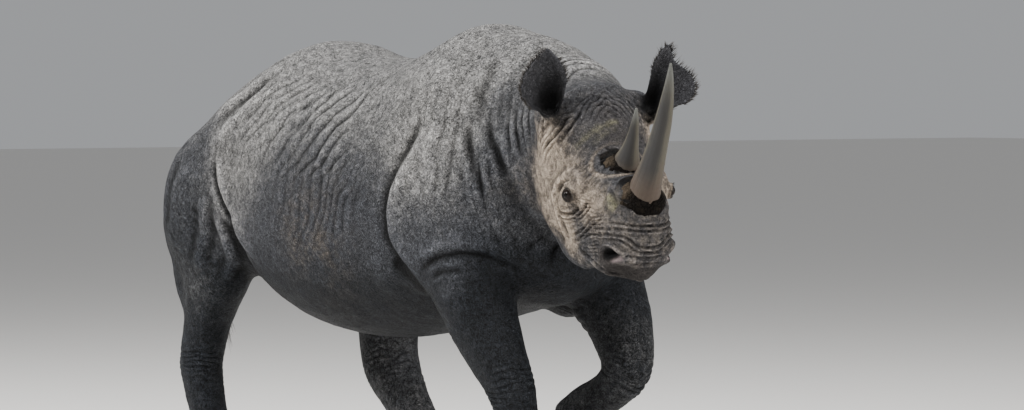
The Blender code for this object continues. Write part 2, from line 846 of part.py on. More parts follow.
def wear(obj):
    """Gives the piece a material of its own."""
    colour, roughness = FINISHES[finish_of(obj.name)]
    material = bpy.data.materials.new(f"{obj.name}_finish")
    material.use_nodes = True
    surface = material.node_tree.nodes["Principled BSDF"]
    surface.inputs["Base Color"].default_value = (*colour, 1.0)
    surface.inputs["Roughness"].default_value = roughness
    surface.inputs["Metallic"].default_value = 0.0
    obj.data.materials.clear()
    obj.data.materials.append(material)


def centre_on_origin(objects):
    """Moves every piece alike so that the animal stands over the origin."""
    points = [vertex.co for obj in objects for vertex in obj.data.vertices]
    middle = [(min(p[k] for p in points) + max(p[k] for p in points)) / 2 for k in (0, 1)]
    shift = Matrix.Translation((-middle[0], -middle[1], 0.0))
    for obj in objects:
        obj.data.transform(shift)
    print("standing point of the body's frame:", tuple(round(-value, 5) for value in middle))


def main():
    clear_scene()
    pieces = part_flesh(build_flesh())
    pieces |= build_head_pieces(pieces["head"])
    pieces |= build_toenails(pieces)
    pieces["tail"] = build_tail(pieces["trunk"])
    centre_on_origin(pieces.values())
    for obj in pieces.values():
        wear(obj)


main()
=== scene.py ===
"""Looks of a life-size black rhinoceros that walks with its left forefoot raised.

All sizes are in metres. A place on the body is (forward, left, up) from the point on the floor
below the middle of the trunk. A place on the head is (along the muzzle, left, above) from the
skull's axis at the neck. Folds given for one side are mirrored to the other.
"""

import json
import logging
import math
from contextlib import contextmanager
from dataclasses import dataclass, replace
from enum import Enum
from typing import Any, Callable, Iterable, Iterator, Sequence

import bmesh
import bpy
import numpy as np
from mathutils import Matrix, Vector
from mathutils.kdtree import KDTree

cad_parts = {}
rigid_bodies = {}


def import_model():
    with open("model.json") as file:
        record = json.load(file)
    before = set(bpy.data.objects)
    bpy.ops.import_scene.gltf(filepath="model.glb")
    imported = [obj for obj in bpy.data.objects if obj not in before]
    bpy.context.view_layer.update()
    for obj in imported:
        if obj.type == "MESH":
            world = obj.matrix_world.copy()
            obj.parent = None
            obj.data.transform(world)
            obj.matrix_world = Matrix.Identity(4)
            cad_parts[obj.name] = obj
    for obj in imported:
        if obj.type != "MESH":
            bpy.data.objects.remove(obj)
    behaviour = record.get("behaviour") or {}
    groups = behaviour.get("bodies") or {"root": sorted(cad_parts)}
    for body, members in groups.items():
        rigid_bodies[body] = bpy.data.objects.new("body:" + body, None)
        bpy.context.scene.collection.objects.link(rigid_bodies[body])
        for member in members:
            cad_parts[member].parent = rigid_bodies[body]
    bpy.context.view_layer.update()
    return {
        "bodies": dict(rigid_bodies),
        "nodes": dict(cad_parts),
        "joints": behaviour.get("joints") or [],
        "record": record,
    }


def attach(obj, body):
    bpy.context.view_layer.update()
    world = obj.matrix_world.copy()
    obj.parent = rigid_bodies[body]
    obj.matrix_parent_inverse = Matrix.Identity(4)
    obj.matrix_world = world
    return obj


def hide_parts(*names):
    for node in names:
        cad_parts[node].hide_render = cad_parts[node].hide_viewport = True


LOG = logging.getLogger("rhinoceros")

Spot = tuple[float, float, float]
Colour = tuple[float, float, float]

SORT_ALONG = Vector((0.6180, 0.4142, 0.7321))  # a slanted direction, so that few points are level along it
STAND_Y = 0.35369  # of the body's own origin in the shared frame
HEAD_AT = (1.095, -0.078, 1.20)
HEAD_PITCH, HEAD_TURN, HEAD_ROLL = 32.0, 16.0, 2.0
LEGS = ("right_foreleg", "left_foreleg", "right_hindleg", "left_hindleg")
FLESH = ("trunk", "neck", "head", "tail", "right_ear", "left_ear") + LEGS
SIDE_NAMES = {-1: "right", 1: "left"}
EYE_AT, EYE_RADIUS, SOCKET_RADII = (0.335, 0.163, 0.0), 0.022, (0.0235, 0.0235, 0.0235)
NOSTRIL_FILL_AT, NOSTRIL_FILL_RADII = (0.550, 0.088, -0.072), (0.034, 0.024, 0.024)
HORN_SEATS = (((0.500, 0.0, 0.070), (0.066, 0.056, 0.050)), ((0.338, 0.0, 0.068), (0.060, 0.055, 0.046)))
BRISTLE, LASH = 0.0013, 0.0005  # half the thickness of a hair at its root
LONG_AXIS_UP = 0.95  # height of the body's long axis
BODY_REACH = (-1.3, 3.2)  # where the body's map starts along it, and its length
SOLE = 0.004  # below this height the skin stays as it is, flat on the floor
REAR_RUFF_AT, REAR_RUFF_SIZE = (0.322, -0.012, 0.10), (0.060, 0.074, 0.08)  # frayed base of the rear horn
FRONT_LEDGE_UP, FRONT_LEDGE_RISE = 0.083, 0.011  # edge of the skin round the front horn, and its rise forward
FRONT_LEDGE_AT = 0.50  # its middle along the muzzle


class Space(Enum):
    """Which part of the animal a place is measured from."""

    BODY = "body"
    HEAD = "head"


class Side(Enum):
    """Which side of the animal a feature is on."""

    RIGHT = (-1,)
    LEFT = (1,)
    BOTH = (-1, 1)


class Axes:
    """Forward, left and up from an origin, to and from the shared frame."""

    def __init__(self, matrix: Matrix) -> None:
        """Keeps the axes.

        Args:
            matrix: takes (forward, left, up) to the shared frame.
        """
        self.matrix = matrix
        self.turn = np.array(matrix.to_3x3())
        self.origin = np.array(matrix.translation)

    def place(self, spot: Sequence[float]) -> Vector:
        """A place in the shared frame."""
        return self.matrix @ Vector(spot)

    def direction(self, spot: Sequence[float]) -> Vector:
        """A direction in the shared frame, of length one."""
        return (self.matrix.to_3x3() @ Vector(spot)).normalized()

    def read(self, points: np.ndarray) -> np.ndarray:
        """Points of the shared frame, measured along these axes."""
        return (points - self.origin) @ self.turn

    def write(self, spots: np.ndarray) -> np.ndarray:
        """Places measured along these axes, in the shared frame."""
        return spots @ self.turn.T + self.origin


FORWARD_LEFT_UP = Matrix(((0, 1, 0, 0), (-1, 0, 0, 0), (0, 0, 1, 0), (0, 0, 0, 1)))
BODY = Axes(Matrix.Translation((0, STAND_Y, 0)) @ FORWARD_LEFT_UP)
HEAD = Axes(
    Matrix.Translation(BODY.place(HEAD_AT))
    @ Matrix.Rotation(-math.radians(HEAD_TURN), 4, "Z")
    @ Matrix.Rotation(math.radians(HEAD_PITCH), 4, "X")
    @ Matrix.Rotation(-math.radians(HEAD_ROLL), 4, "Y")
    @ FORWARD_LEFT_UP
)
AXES = {Space.BODY: BODY, Space.HEAD: HEAD}


# ---------------------------------------------------------------- numbers over many points
def ease(values: np.ndarray, low: float, high: float) -> np.ndarray:
    """A smooth step.

    Args:
        values: where to read the step.
        low: the value at which it leaves 0.
        high: the value at which it reaches 1; below low for a step down.

    Returns:
        The step, from 0 to 1.
    """
    share = np.clip((values - low) / (high - low), 0.0, 1.0)
    return share * share * (3.0 - 2.0 * share)


def bell(*offsets: np.ndarray) -> np.ndarray:
    """A round bump: 1 where every offset is 0, and 0.37 at a distance of 1."""
    return np.exp(-sum(offset**2 for offset in offsets))


def mirror(way: int) -> np.ndarray:
    """What takes a place on the left to the side that way stands for."""
    return np.array([1.0, float(way), 1.0])


def lattice(cells: np.ndarray, seed: int) -> np.ndarray:
    """Repeatable values from -1 to 1 for whole-number cells.

    Args:
        cells: whole numbers, three to a row.
        seed: picks another pattern.

    Returns:
        One value for each row.
    """
    mixed = cells[:, 0] * 73856093 ^ cells[:, 1] * 19349663 ^ cells[:, 2] * 83492791 ^ seed * 668265263
    mixed = (mixed ^ (mixed >> 13)) * 1274126177
    return ((mixed ^ (mixed >> 16)) & 0xFFFF) / 32767.5 - 1.0


def grain(points: np.ndarray, size: float, seed: int = 1) -> np.ndarray:
    """Smooth, uneven lumps.

    Args:
        points: where to read them.
        size: how far apart the lumps are.
        seed: picks another pattern.

    Returns:
        Values from -1 to 1.
    """
    scaled = points / size
    cell = np.floor(scaled).astype(np.int64)
    part = scaled - cell
    part = part * part * (3.0 - 2.0 * part)
    total = np.zeros(len(points))
    for corner in range(8):
        step = np.array([corner & 1, corner >> 1 & 1, corner >> 2 & 1])
        weight = np.prod(np.where(step == 1, part, 1.0 - part), axis=1)
        total += weight * lattice(cell + step, seed)
    return total


def curve(spots: Sequence[Spot], steps: int = 6) -> np.ndarray:
    """A smooth line through a few places.

    Args:
        spots: the places, in order.
        steps: points of the line for each of them.

    Returns:
        The line's points.
    """
    rows = np.array(spots, float)
    rows = np.vstack((2 * rows[0] - rows[1], rows, 2 * rows[-1] - rows[-2]))
    line = []
    for before, start, end, after in zip(rows, rows[1:], rows[2:], rows[3:]):
        for share in np.arange(steps) / steps:
            bend = 2 * before - 5 * start + 4 * end - after
            twist = 3 * start - before - 3 * end + after
            line.append(0.5 * (2 * start + (end - before) * share + bend * share**2 + twist * share**3))
    return np.vstack((line, rows[-2]))


def beside(line: np.ndarray, spots: np.ndarray) -> tuple[np.ndarray, np.ndarray, np.ndarray, np.ndarray]:
    """Where places are beside a line.

    Args:
        line: the line's points.
        spots: the places.

    Returns:
        For each place its distance, the share of the line at its nearest point, the way to it from
        there, and the line's direction there.
    """
    best = np.full(len(spots), np.inf)
    share = np.zeros(len(spots))
    ways, runs = np.zeros((len(spots), 3)), np.zeros((len(spots), 3))
    for k, (start, end) in enumerate(zip(line, line[1:])):
        run = end - start
        part = np.clip((spots - start) @ run / (run @ run), 0.0, 1.0)
        offset = spots - start - part[:, None] * run
        gap = (offset * offset).sum(1)
        closer = gap < best
        best[closer] = gap[closer]
        share[closer] = (k + part[closer]) / (len(line) - 1)
        ways[closer] = offset[closer]
        runs[closer] = run / np.linalg.norm(run)
    return np.sqrt(best), share, ways, runs


class Surface:
    """Finds the skin's nearest points."""

    def __init__(self, points: np.ndarray) -> None:
        """Sorts the skin's points.

        Args:
            points: the points, in the shared frame.
        """
        self.tree = KDTree(len(points))
        for number, point in enumerate(points):
            self.tree.insert(point, number)
        self.tree.balance()

    def drape(self, line: np.ndarray, axes: Axes) -> np.ndarray:
        """A line drawn onto the skin, measured along the same axes."""
        near = np.array([self.tree.find(point)[0] for point in axes.write(line)])
        for _ in range(2):
            near[1:-1] = 0.25 * near[:-2] + 0.5 * near[1:-1] + 0.25 * near[2:]
        return axes.read(near)


# ---------------------------------------------------------------- how the skin is pressed and raised
@dataclass(frozen=True, kw_only=True)
class Feature:
    """A form of the skin, given for the right side of the body or the head."""

    space: Space = Space.BODY
    side: Side = Side.BOTH

    def heights(self, spots: np.ndarray, normals: np.ndarray, skin: Surface) -> np.ndarray:
        """How far each place is raised.

        Args:
            spots: places in the feature's own space.
            normals: the skin's directions there, in the same space.
            skin: draws a line onto the skin.

        Returns:
            One height for each place.
        """
        return sum(self.one_side(spots, normals, skin, mirror(-way)) for way in self.side.value)

    def one_side(self, spots: np.ndarray, normals: np.ndarray, skin: Surface, flip: np.ndarray) -> np.ndarray:
        """The heights on the side that flip takes the form to."""
        raise NotImplementedError


@dataclass(frozen=True)
class Fold(Feature):
    """A line of the skin that is pressed in, or raised where its depth is below zero.

    A shelf is skin that rises on one side of the line: above a line that runs forward on the right
    flank, and in front of one that runs down it.
    """

    path: tuple[Spot, ...]
    depth: float
    width: float
    lip: float = 0.4
    shelf: float = 0.0
    reach: float = 0.06
    fade: float = 0.18

    def one_side(self, spots: np.ndarray, normals: np.ndarray, skin: Surface, flip: np.ndarray) -> np.ndarray:
        """As in Feature.one_side."""
        total = np.zeros(len(spots))
        line = skin.drape(curve(self.path) * flip, AXES[self.space])
        margin = max(3.2 * self.width, 2.2 * self.reach if self.shelf else 0.0)
        near = np.all((spots > line.min(0) - margin) & (spots < line.max(0) + margin), axis=1)
        if near.any():
            total[near] = self._along(line, spots[near], normals[near], flip[1])
        return total

    def _along(self, line: np.ndarray, spots: np.ndarray, normals: np.ndarray, way: float) -> np.ndarray:
        """The heights beside one line."""
        gap, share, ways, runs = beside(line, spots)
        across = (np.cross(normals, runs) * ways).sum(1) * way
        strength = ease(share, 0.0, self.fade) * ease(share, 1.0, 1.0 - self.fade)
        lips = self.depth * self.lip * bell((gap - 1.9 * self.width) / (0.8 * self.width))
        height = -self.depth * bell(gap / self.width) + lips
        if self.shelf:
            height += self.shelf * ease(across, -0.4 * self.width, self.width) * bell(gap / self.reach)
        return height * strength


@dataclass(frozen=True)
class Pleats(Feature):
    """Many near-parallel folds inside an egg-shaped part of the skin."""

    at: Spot
    radii: Spot
    across: Spot
    spacing: float
    depth: float
    wander: float = 0.5

    def one_side(self, spots: np.ndarray, normals: np.ndarray, skin: Surface, flip: np.ndarray) -> np.ndarray:
        """As in Feature.one_side."""
        total = np.zeros(len(spots))
        inside = 1.0 - (((spots * flip - self.at) / self.radii) ** 2).sum(1)
        near = inside > 0.0
        local = spots[near] * flip
        heading = np.array(self.across) / np.linalg.norm(self.across)
        stray = 1.3 * grain(local, 3.5 * self.spacing, 3) + 0.5 * grain(local, 1.4 * self.spacing, 5)
        phase = local @ heading / self.spacing + self.wander * stray
        ridge = np.abs(np.sin(math.pi * phase)) ** 0.7 - 0.6
        uneven = 0.2 + 1.1 * ease(grain(local, 3.4 * self.spacing, 7), -0.55, 0.55)
        total[near] = self.depth * ridge * uneven * ease(inside[near], 0.0, 0.55)
        return total


@dataclass(frozen=True)
class Swell(Feature):
    """A soft rise of the skin over muscle or bone, or a hollow where its height is below zero."""

    at: Spot
    radii: Spot
    height: float

    def one_side(self, spots: np.ndarray, normals: np.ndarray, skin: Surface, flip: np.ndarray) -> np.ndarray:
        """As in Feature.one_side."""
        return self.height * np.exp(-(((spots * flip - self.at) / self.radii) ** 2).sum(1))


def on_head(*features: Feature) -> tuple[Feature, ...]:
    """The same features, measured on the head."""
    return tuple(replace(feature, space=Space.HEAD) for feature in features)


@dataclass(frozen=True)
class Streak:
    """A streak along a line on the skin: a moss stain in STAINS, painted shade in SHADES."""

    path: tuple[Spot, ...]
    width: float
    strength: float

    def amount(self, spots: np.ndarray) -> np.ndarray:
        """How much of the streak each place gets."""
        gap, share, _, _ = beside(curve(self.path), spots)
        return self.strength * bell(gap / self.width) * ease(share, 0.0, 0.15) * ease(share, 1.0, 0.8)


MUSCLES = (
    # hollow behind the blade's ridge
    Swell((0.6, -0.37, 1.13), (0.045, 0.12, 0.1), -0.014),
    # blade
    Swell((0.68, -0.36, 1.05), (0.1, 0.12, 0.16), 0.012),
    # ribs behind the elbow
    Swell((0.44, -0.36, 0.74), (0.05, 0.08, 0.08), 0.012),
    # point of the hip
    Swell((-0.5, -0.32, 1.24), (0.1, 0.12, 0.09), 0.012),
    # haunch
    Swell((-0.66, -0.36, 0.93), (0.1, 0.12, 0.14), 0.01),
    # stifle
    Swell((-0.47, -0.36, 0.8), (0.05, 0.08, 0.07), 0.01),
    Swell((-0.44, -0.3, 1.06), (0.09, 0.15, 0.1), -0.012),
    # hollow before the haunch
    Swell((-0.395, -0.34, 0.84), (0.042, 0.1, 0.11), -0.04),
    # point of the shoulder
    Swell((0.82, -0.3, 0.93), (0.08, 0.1, 0.12), 0.01),
    # muscle of the forearm
    Swell((0.8, -0.3, 0.66), (0.05, 0.12, 0.08), 0.011),
    Swell((0.69, -0.28, 0.58), (0.03, 0.12, 0.09), -0.009),
)
BODY_FOLDS = (
    # rear edge of the shoulder
    Fold(((0.66, -0.34, 1.26), (0.6, -0.35, 1.2), (0.55, -0.38, 1.1), (0.51, -0.39, 1.02), (0.5, -0.4, 0.94),
         (0.51, -0.4, 0.86), (0.55, -0.38, 0.79), (0.6, -0.36, 0.73)), 0.006, 0.026, 0.3, 0.022, 0.08,
         fade=0.3),
    # flank over the thigh
    Fold(((-0.52, -0.35, 1.13), (-0.49, -0.37, 1.04), (-0.44, -0.38, 0.97), (-0.39, -0.38, 0.89),
         (-0.32, -0.37, 0.81), (-0.25, -0.35, 0.73)), 0.011, 0.018, 0.3, 0.02, 0.06, fade=0.3),
    Fold(((-0.56, -0.37, 0.99), (-0.56, -0.36, 0.88), (-0.58, -0.37, 0.8), (-0.61, -0.36, 0.72)), -0.01, 0.022),
    Fold(((-0.5, -0.36, 0.93), (-0.45, -0.35, 0.82), (-0.46, -0.33, 0.73), (-0.52, -0.31, 0.67)), -0.008,
         0.018),
    # groove of the rump
    Fold(((-0.25, -0.25, 1.4), (-0.36, -0.28, 1.35), (-0.43, -0.31, 1.29), (-0.5, -0.32, 1.23),
         (-0.58, -0.33, 1.16)), 0.009, 0.026, 0.8, fade=0.35),
    Fold(((-0.29, -0.18, 1.45), (-0.4, -0.17, 1.41), (-0.5, -0.16, 1.36)), 0.004, 0.018, fade=0.4),
    Fold(((-0.72, -0.33, 1.1), (-0.75, -0.34, 0.98), (-0.76, -0.33, 0.86)), 0.006, 0.025),
    Fold(((0.77, -0.16, 1.45), (0.79, -0.2, 1.4), (0.8, -0.25, 1.3), (0.81, -0.28, 1.18)), 0.005, 0.026, 0.4,
         fade=0.4),
    # throat fold
    Fold(((0.84, -0.24, 1.27), (0.87, -0.26, 1.19), (0.91, -0.26, 1.12), (0.95, -0.25, 1.04),
         (0.98, -0.22, 0.95), (1.01, -0.15, 0.87), (1.01, -0.05, 0.83)), 0.01, 0.017, 0.5, 0.01, 0.05,
         fade=0.3),
    Fold(((0.77, -0.28, 1.26), (0.8, -0.3, 1.17), (0.84, -0.3, 1.08), (0.88, -0.29, 0.99), (0.93, -0.25, 0.91)),
         0.008, 0.016, fade=0.3),
    Fold(((0.93, -0.24, 1.3), (0.97, -0.23, 1.2), (1.01, -0.22, 1.1), (1.02, -0.19, 0.98), (1.02, -0.14, 0.88)),
         0.006, 0.012, 0.8, fade=0.35),
    # shoulder over the arm
    Fold(((0.62, -0.36, 0.74), (0.67, -0.37, 0.785), (0.73, -0.37, 0.81), (0.8, -0.36, 0.825),
         (0.86, -0.31, 0.825), (0.91, -0.24, 0.8), (0.94, -0.16, 0.77)), 0.009, 0.015, 0.3, 0.012, 0.05,
         fade=0.35),
    Fold(((0.5, -0.38, 0.8), (0.56, -0.36, 0.74), (0.6, -0.31, 0.68)), 0.013, 0.03, 0.2),
    Fold(((0.7, -0.36, 0.74), (0.76, -0.36, 0.765), (0.83, -0.33, 0.765)), 0.005, 0.009),
)
BODY_PLEATS = (
    # over the ribs
    Pleats((0.1, -0.38, 1.2), (0.34, 0.22, 0.18), (1.0, 0.0, -0.95), 0.05, 0.0055, 0.7),
    Pleats((-0.2, -0.3, 1.26), (0.3, 0.2, 0.15), (0.7, 0.0, -1.0), 0.044, 0.0035, 0.8),
    # side of the neck
    Pleats((0.92, -0.24, 1.13), (0.15, 0.18, 0.32), (1.0, 0.0, 0.28), 0.032, 0.01, 0.25),
    # nape
    Pleats((1.01, -0.04, 1.37), (0.11, 0.24, 0.11), (1.0, 0.0, 0.35), 0.034, 0.009, 0.4),
    # throat
    Pleats((0.98, -0.02, 0.88), (0.14, 0.24, 0.12), (1.0, 0.0, -0.5), 0.04, 0.009, 0.5),
    # blade
    Pleats((0.68, -0.36, 1.16), (0.2, 0.2, 0.2), (1.0, 0.0, -0.12), 0.055, 0.0035, 0.8),
    # lower ribs
    Pleats((0.14, -0.42, 0.98), (0.3, 0.24, 0.2), (1.0, 0.0, -0.1), 0.046, 0.0028, 0.9),
    # haunch
    Pleats((-0.7, -0.36, 0.86), (0.16, 0.2, 0.24), (0.5, 0.0, 0.9), 0.03, 0.0022, 0.9),
)
LEG_PLEATS = (
    Pleats((0.88, -0.195, 0.4), (0.12, 0.13, 0.13), (0.15, 0.0, 1.0), 0.021, 0.0045, 0.9, side=Side.RIGHT),
    Pleats((0.93, -0.187, 0.18), (0.11, 0.12, 0.09), (0.15, 0.0, 1.0), 0.018, 0.0034, 0.9, side=Side.RIGHT),
    Pleats((0.92, -0.235, 0.43), (0.12, 0.13, 0.13), (0.5, 0.0, 1.0), 0.021, 0.0045, 0.9, side=Side.LEFT),
    Pleats((0.75, -0.212, 0.3), (0.11, 0.12, 0.08), (1.0, 0.0, 0.6), 0.018, 0.0034, 0.9, side=Side.LEFT),
    Pleats((-0.75, -0.24, 0.38), (0.12, 0.13, 0.14), (-0.1, 0.0, 1.0), 0.021, 0.0045, 0.9, side=Side.RIGHT),
    Pleats((-0.7, -0.23, 0.17), (0.11, 0.12, 0.09), (-0.1, 0.0, 1.0), 0.018, 0.0034, 0.9, side=Side.RIGHT),
    Pleats((-0.27, -0.223, 0.38), (0.14, 0.13, 0.14), (-0.5, 0.0, 1.0), 0.021, 0.0045, 0.9, side=Side.LEFT),
    Pleats((-0.08, -0.203, 0.16), (0.12, 0.12, 0.09), (-0.5, 0.0, 1.0), 0.018, 0.0034, 0.9, side=Side.LEFT),
    Pleats((0.78, -0.255, 0.66), (0.14, 0.16, 0.16), (0.3, 0.0, 1.0), 0.03, 0.0036, 0.8),
)
FACE_FOLDS = on_head(
    # brow
    Fold(((0.219, -0.157, -0.088), (0.215, -0.159, -0.048), (0.24, -0.154, 0.005), (0.273, -0.145, 0.047),
         (0.316, -0.139, 0.059), (0.358, -0.147, 0.045)), -0.007, 0.011, 0.3),
    Fold(((0.236, -0.156, -0.066), (0.246, -0.158, -0.025), (0.28, -0.163, 0.018), (0.32, -0.16, 0.04)), 0.005,
         0.006),
    Fold(((0.246, -0.154, -0.078), (0.277, -0.15, -0.085), (0.325, -0.145, -0.055), (0.367, -0.15, -0.005)),
         0.0022, 0.0045, 0.6),
    Fold(((0.243, -0.155, -0.098), (0.279, -0.147, -0.107), (0.336, -0.142, -0.07), (0.37, -0.143, -0.022),
         (0.38, -0.142, 0.02)), 0.006, 0.0055, 0.7),
    Fold(((0.255, -0.15, -0.122), (0.298, -0.146, -0.116), (0.345, -0.138, -0.082), (0.389, -0.131, -0.024),
         (0.398, -0.131, 0.02)), 0.0033, 0.004, 0.6),
    # ridge of the cheek
    Fold(((0.2, -0.158, -0.06), (0.211, -0.158, -0.082), (0.246, -0.155, -0.112), (0.271, -0.148, -0.138),
         (0.3, -0.135, -0.165), (0.335, -0.118, -0.19)), -0.007, 0.0075, 0.35),
    Fold(((0.293, -0.142, -0.135), (0.363, -0.135, -0.078), (0.402, -0.127, -0.021), (0.408, -0.121, 0.013)),
         0.0033, 0.004, 0.6),
    Fold(((0.318, -0.125, -0.165), (0.389, -0.126, -0.098), (0.423, -0.122, -0.038), (0.446, -0.117, -0.004)),
         0.0033, 0.004, 0.6),
    Fold(((0.35, -0.118, -0.17), (0.405, -0.124, -0.1), (0.453, -0.116, -0.029), (0.478, -0.108, 0.003)),
         0.0033, 0.004, 0.6),
    Fold(((0.495, -0.104, 0.004), (0.541, -0.084, 0.028), (0.57, -0.049, 0.036), (0.579, -0.01, 0.04),
         (0.579, 0.01, 0.04)), 0.0036, 0.0042, 0.5, fade=0.1),
    Fold(((0.473, -0.112, -0.037), (0.55, -0.085, 0.014), (0.581, -0.043, 0.024), (0.587, -0.01, 0.027),
         (0.587, 0.01, 0.027)), 0.003, 0.004, 0.6, fade=0.1),
    Fold(((0.386, -0.119, -0.132), (0.437, -0.119, -0.082), (0.492, -0.109, -0.043), (0.564, -0.087, -0.001),
         (0.589, -0.063, 0.002), (0.604, -0.04, -0.014), (0.61, -0.01, -0.018), (0.61, 0.01, -0.018)), 0.0036,
         0.0042, 0.6, fade=0.08),
    Fold(((0.51, -0.107, -0.05), (0.572, -0.087, -0.013), (0.598, -0.063, -0.016), (0.611, -0.04, -0.032),
         (0.614, -0.01, -0.034), (0.614, 0.01, -0.034)), 0.003, 0.004, 0.6, fade=0.08),
    Fold(((0.598, -0.07, -0.05), (0.612, -0.044, -0.05), (0.618, -0.01, -0.051), (0.618, 0.01, -0.051)), 0.0031,
         0.0043, 0.5, fade=0.1),
    Fold(((0.6, -0.068, -0.07), (0.616, -0.035, -0.072), (0.621, -0.01, -0.07), (0.621, 0.01, -0.07)), 0.0031,
         0.0043, 0.5, fade=0.1),
    # rim of the front boss
    Fold(((0.4, -0.06, 0.1), (0.423, -0.078, 0.085), (0.448, -0.088, 0.071), (0.478, -0.094, 0.053),
         (0.515, -0.088, 0.042)), -0.007, 0.01, 0.3),
    # mouth
    Fold(((0.38, -0.105, -0.172), (0.44, -0.095, -0.165), (0.5, -0.075, -0.158), (0.56, -0.05, -0.152),
         (0.59, -0.01, -0.15), (0.59, 0.01, -0.15)), 0.007, 0.006, 0.5, fade=0.08),
    Fold(((0.112, -0.112, 0.151), (0.132, -0.151, 0.092), (0.124, -0.179, 0.031)), 0.0045, 0.006, 0.6),
    Fold(((0.092, -0.164, 0.11), (0.086, -0.174, 0.074), (0.092, -0.181, 0.03)), 0.004, 0.006, 0.6),
    Fold(((0.126, -0.074, 0.174), (0.151, -0.121, 0.124), (0.162, -0.156, 0.065)), 0.004, 0.006, 0.6),
)
FACE_PLEATS = on_head(
    Pleats((0.115, -0.15, 0.085), (0.075, 0.07, 0.12), (1.0, 0.0, -0.25), 0.018, 0.0045, 0.5),
    Pleats((0.1, -0.06, 0.19), (0.1, 0.12, 0.07), (1.0, 0.5, 0.2), 0.02, 0.003, 0.6),
    Pleats((0.41, -0.12, -0.07), (0.12, 0.07, 0.12), (0.5, 0.0, -0.86), 0.0115, 0.0034, 0.35),
    Pleats((0.56, 0.0, -0.01), (0.09, 0.13, 0.09), (0.35, 0.0, 1.0), 0.01, 0.0014, 0.6, side=Side.RIGHT),
    Pleats((0.47, -0.09, -0.19), (0.12, 0.07, 0.05), (0.2, 0.0, 1.0), 0.013, 0.0025, 0.5),
    Pleats((0.34, -0.13, 0.09), (0.09, 0.06, 0.05), (1.0, 0.4, 0.0), 0.015, 0.002, 0.6),
)


# Painted shade: streaks darkened between flank and thigh, in the armpit and under the jaw.
SHADES = (
    # between flank and thigh
    Streak(((-0.5, -0.34, 1.02), (-0.45, -0.34, 0.93), (-0.4, -0.34, 0.85), (-0.35, -0.33, 0.79),
          (-0.31, -0.3, 0.74)), 0.034, 1.0),
    # armpit
    Streak(((0.5, -0.37, 0.83), (0.53, -0.35, 0.77), (0.57, -0.33, 0.72), (0.6, -0.29, 0.66)), 0.034, 0.9),
    # under the jaw
    Streak(((0.9, -0.25, 1.08), (0.95, -0.22, 0.97), (0.99, -0.16, 0.88), (0.99, -0.06, 0.84)), 0.05, 0.45),
)
STAINS = (
    Streak(((0.175, 0.03, 0.165), (0.19, -0.01, 0.16), (0.202, -0.06, 0.145), (0.212, -0.095, 0.118),
          (0.22, -0.135, 0.07)), 0.008, 0.8),
    Streak(((0.205, 0.02, 0.155), (0.222, -0.035, 0.145), (0.24, -0.085, 0.115)), 0.007, 0.45),
    Streak(((0.44, -0.1, 0.075), (0.47, -0.098, 0.066), (0.492, -0.092, 0.06), (0.51, -0.086, 0.055)), 0.02,
          1.3),
)


# ---------------------------------------------------------------- shader sums
class Value:
    """A shader socket that can be used in Python sums."""

    def __init__(self, graph: "Graph", socket: bpy.types.NodeSocket) -> None:
        """Keeps the socket and the graph that it is in."""
        self.graph = graph
        self.socket = socket

    def _math(self, operation: str, *terms: Any) -> "Value":
        """A Math node over these terms."""
        return self.graph.add("ShaderNodeMath", {"operation": operation}, dict(enumerate(terms)))

    def __add__(self, other: Any) -> "Value":
        """This plus the other."""
        return self._math("ADD", self, other)

    def __radd__(self, other: Any) -> "Value":
        """The other plus this."""
        return self._math("ADD", other, self)

    def __sub__(self, other: Any) -> "Value":
        """This less the other."""
        return self._math("SUBTRACT", self, other)

    def __rsub__(self, other: Any) -> "Value":
        """The other less this."""
        return self._math("SUBTRACT", other, self)

    def __mul__(self, other: Any) -> "Value":
        """This times the other."""
        return self._math("MULTIPLY", self, other)

    def __rmul__(self, other: Any) -> "Value":
        """The other times this."""
        return self._math("MULTIPLY", other, self)

    def clamped(self) -> "Value":
        """This, held between 0 and 1."""
        return self.graph.add("ShaderNodeClamp", {}, {"Value": self})

    def step(self, low: float, high: float) -> "Value":
        """A smooth step from 0 at low to 1 at high."""
        return self.graph.add(
            "ShaderNodeMapRange",
            {"interpolation_type": "SMOOTHSTEP"},
            {"Value": self, "From Min": low, "From Max": high, "To Min": 0.0, "To Max": 1.0},
        )


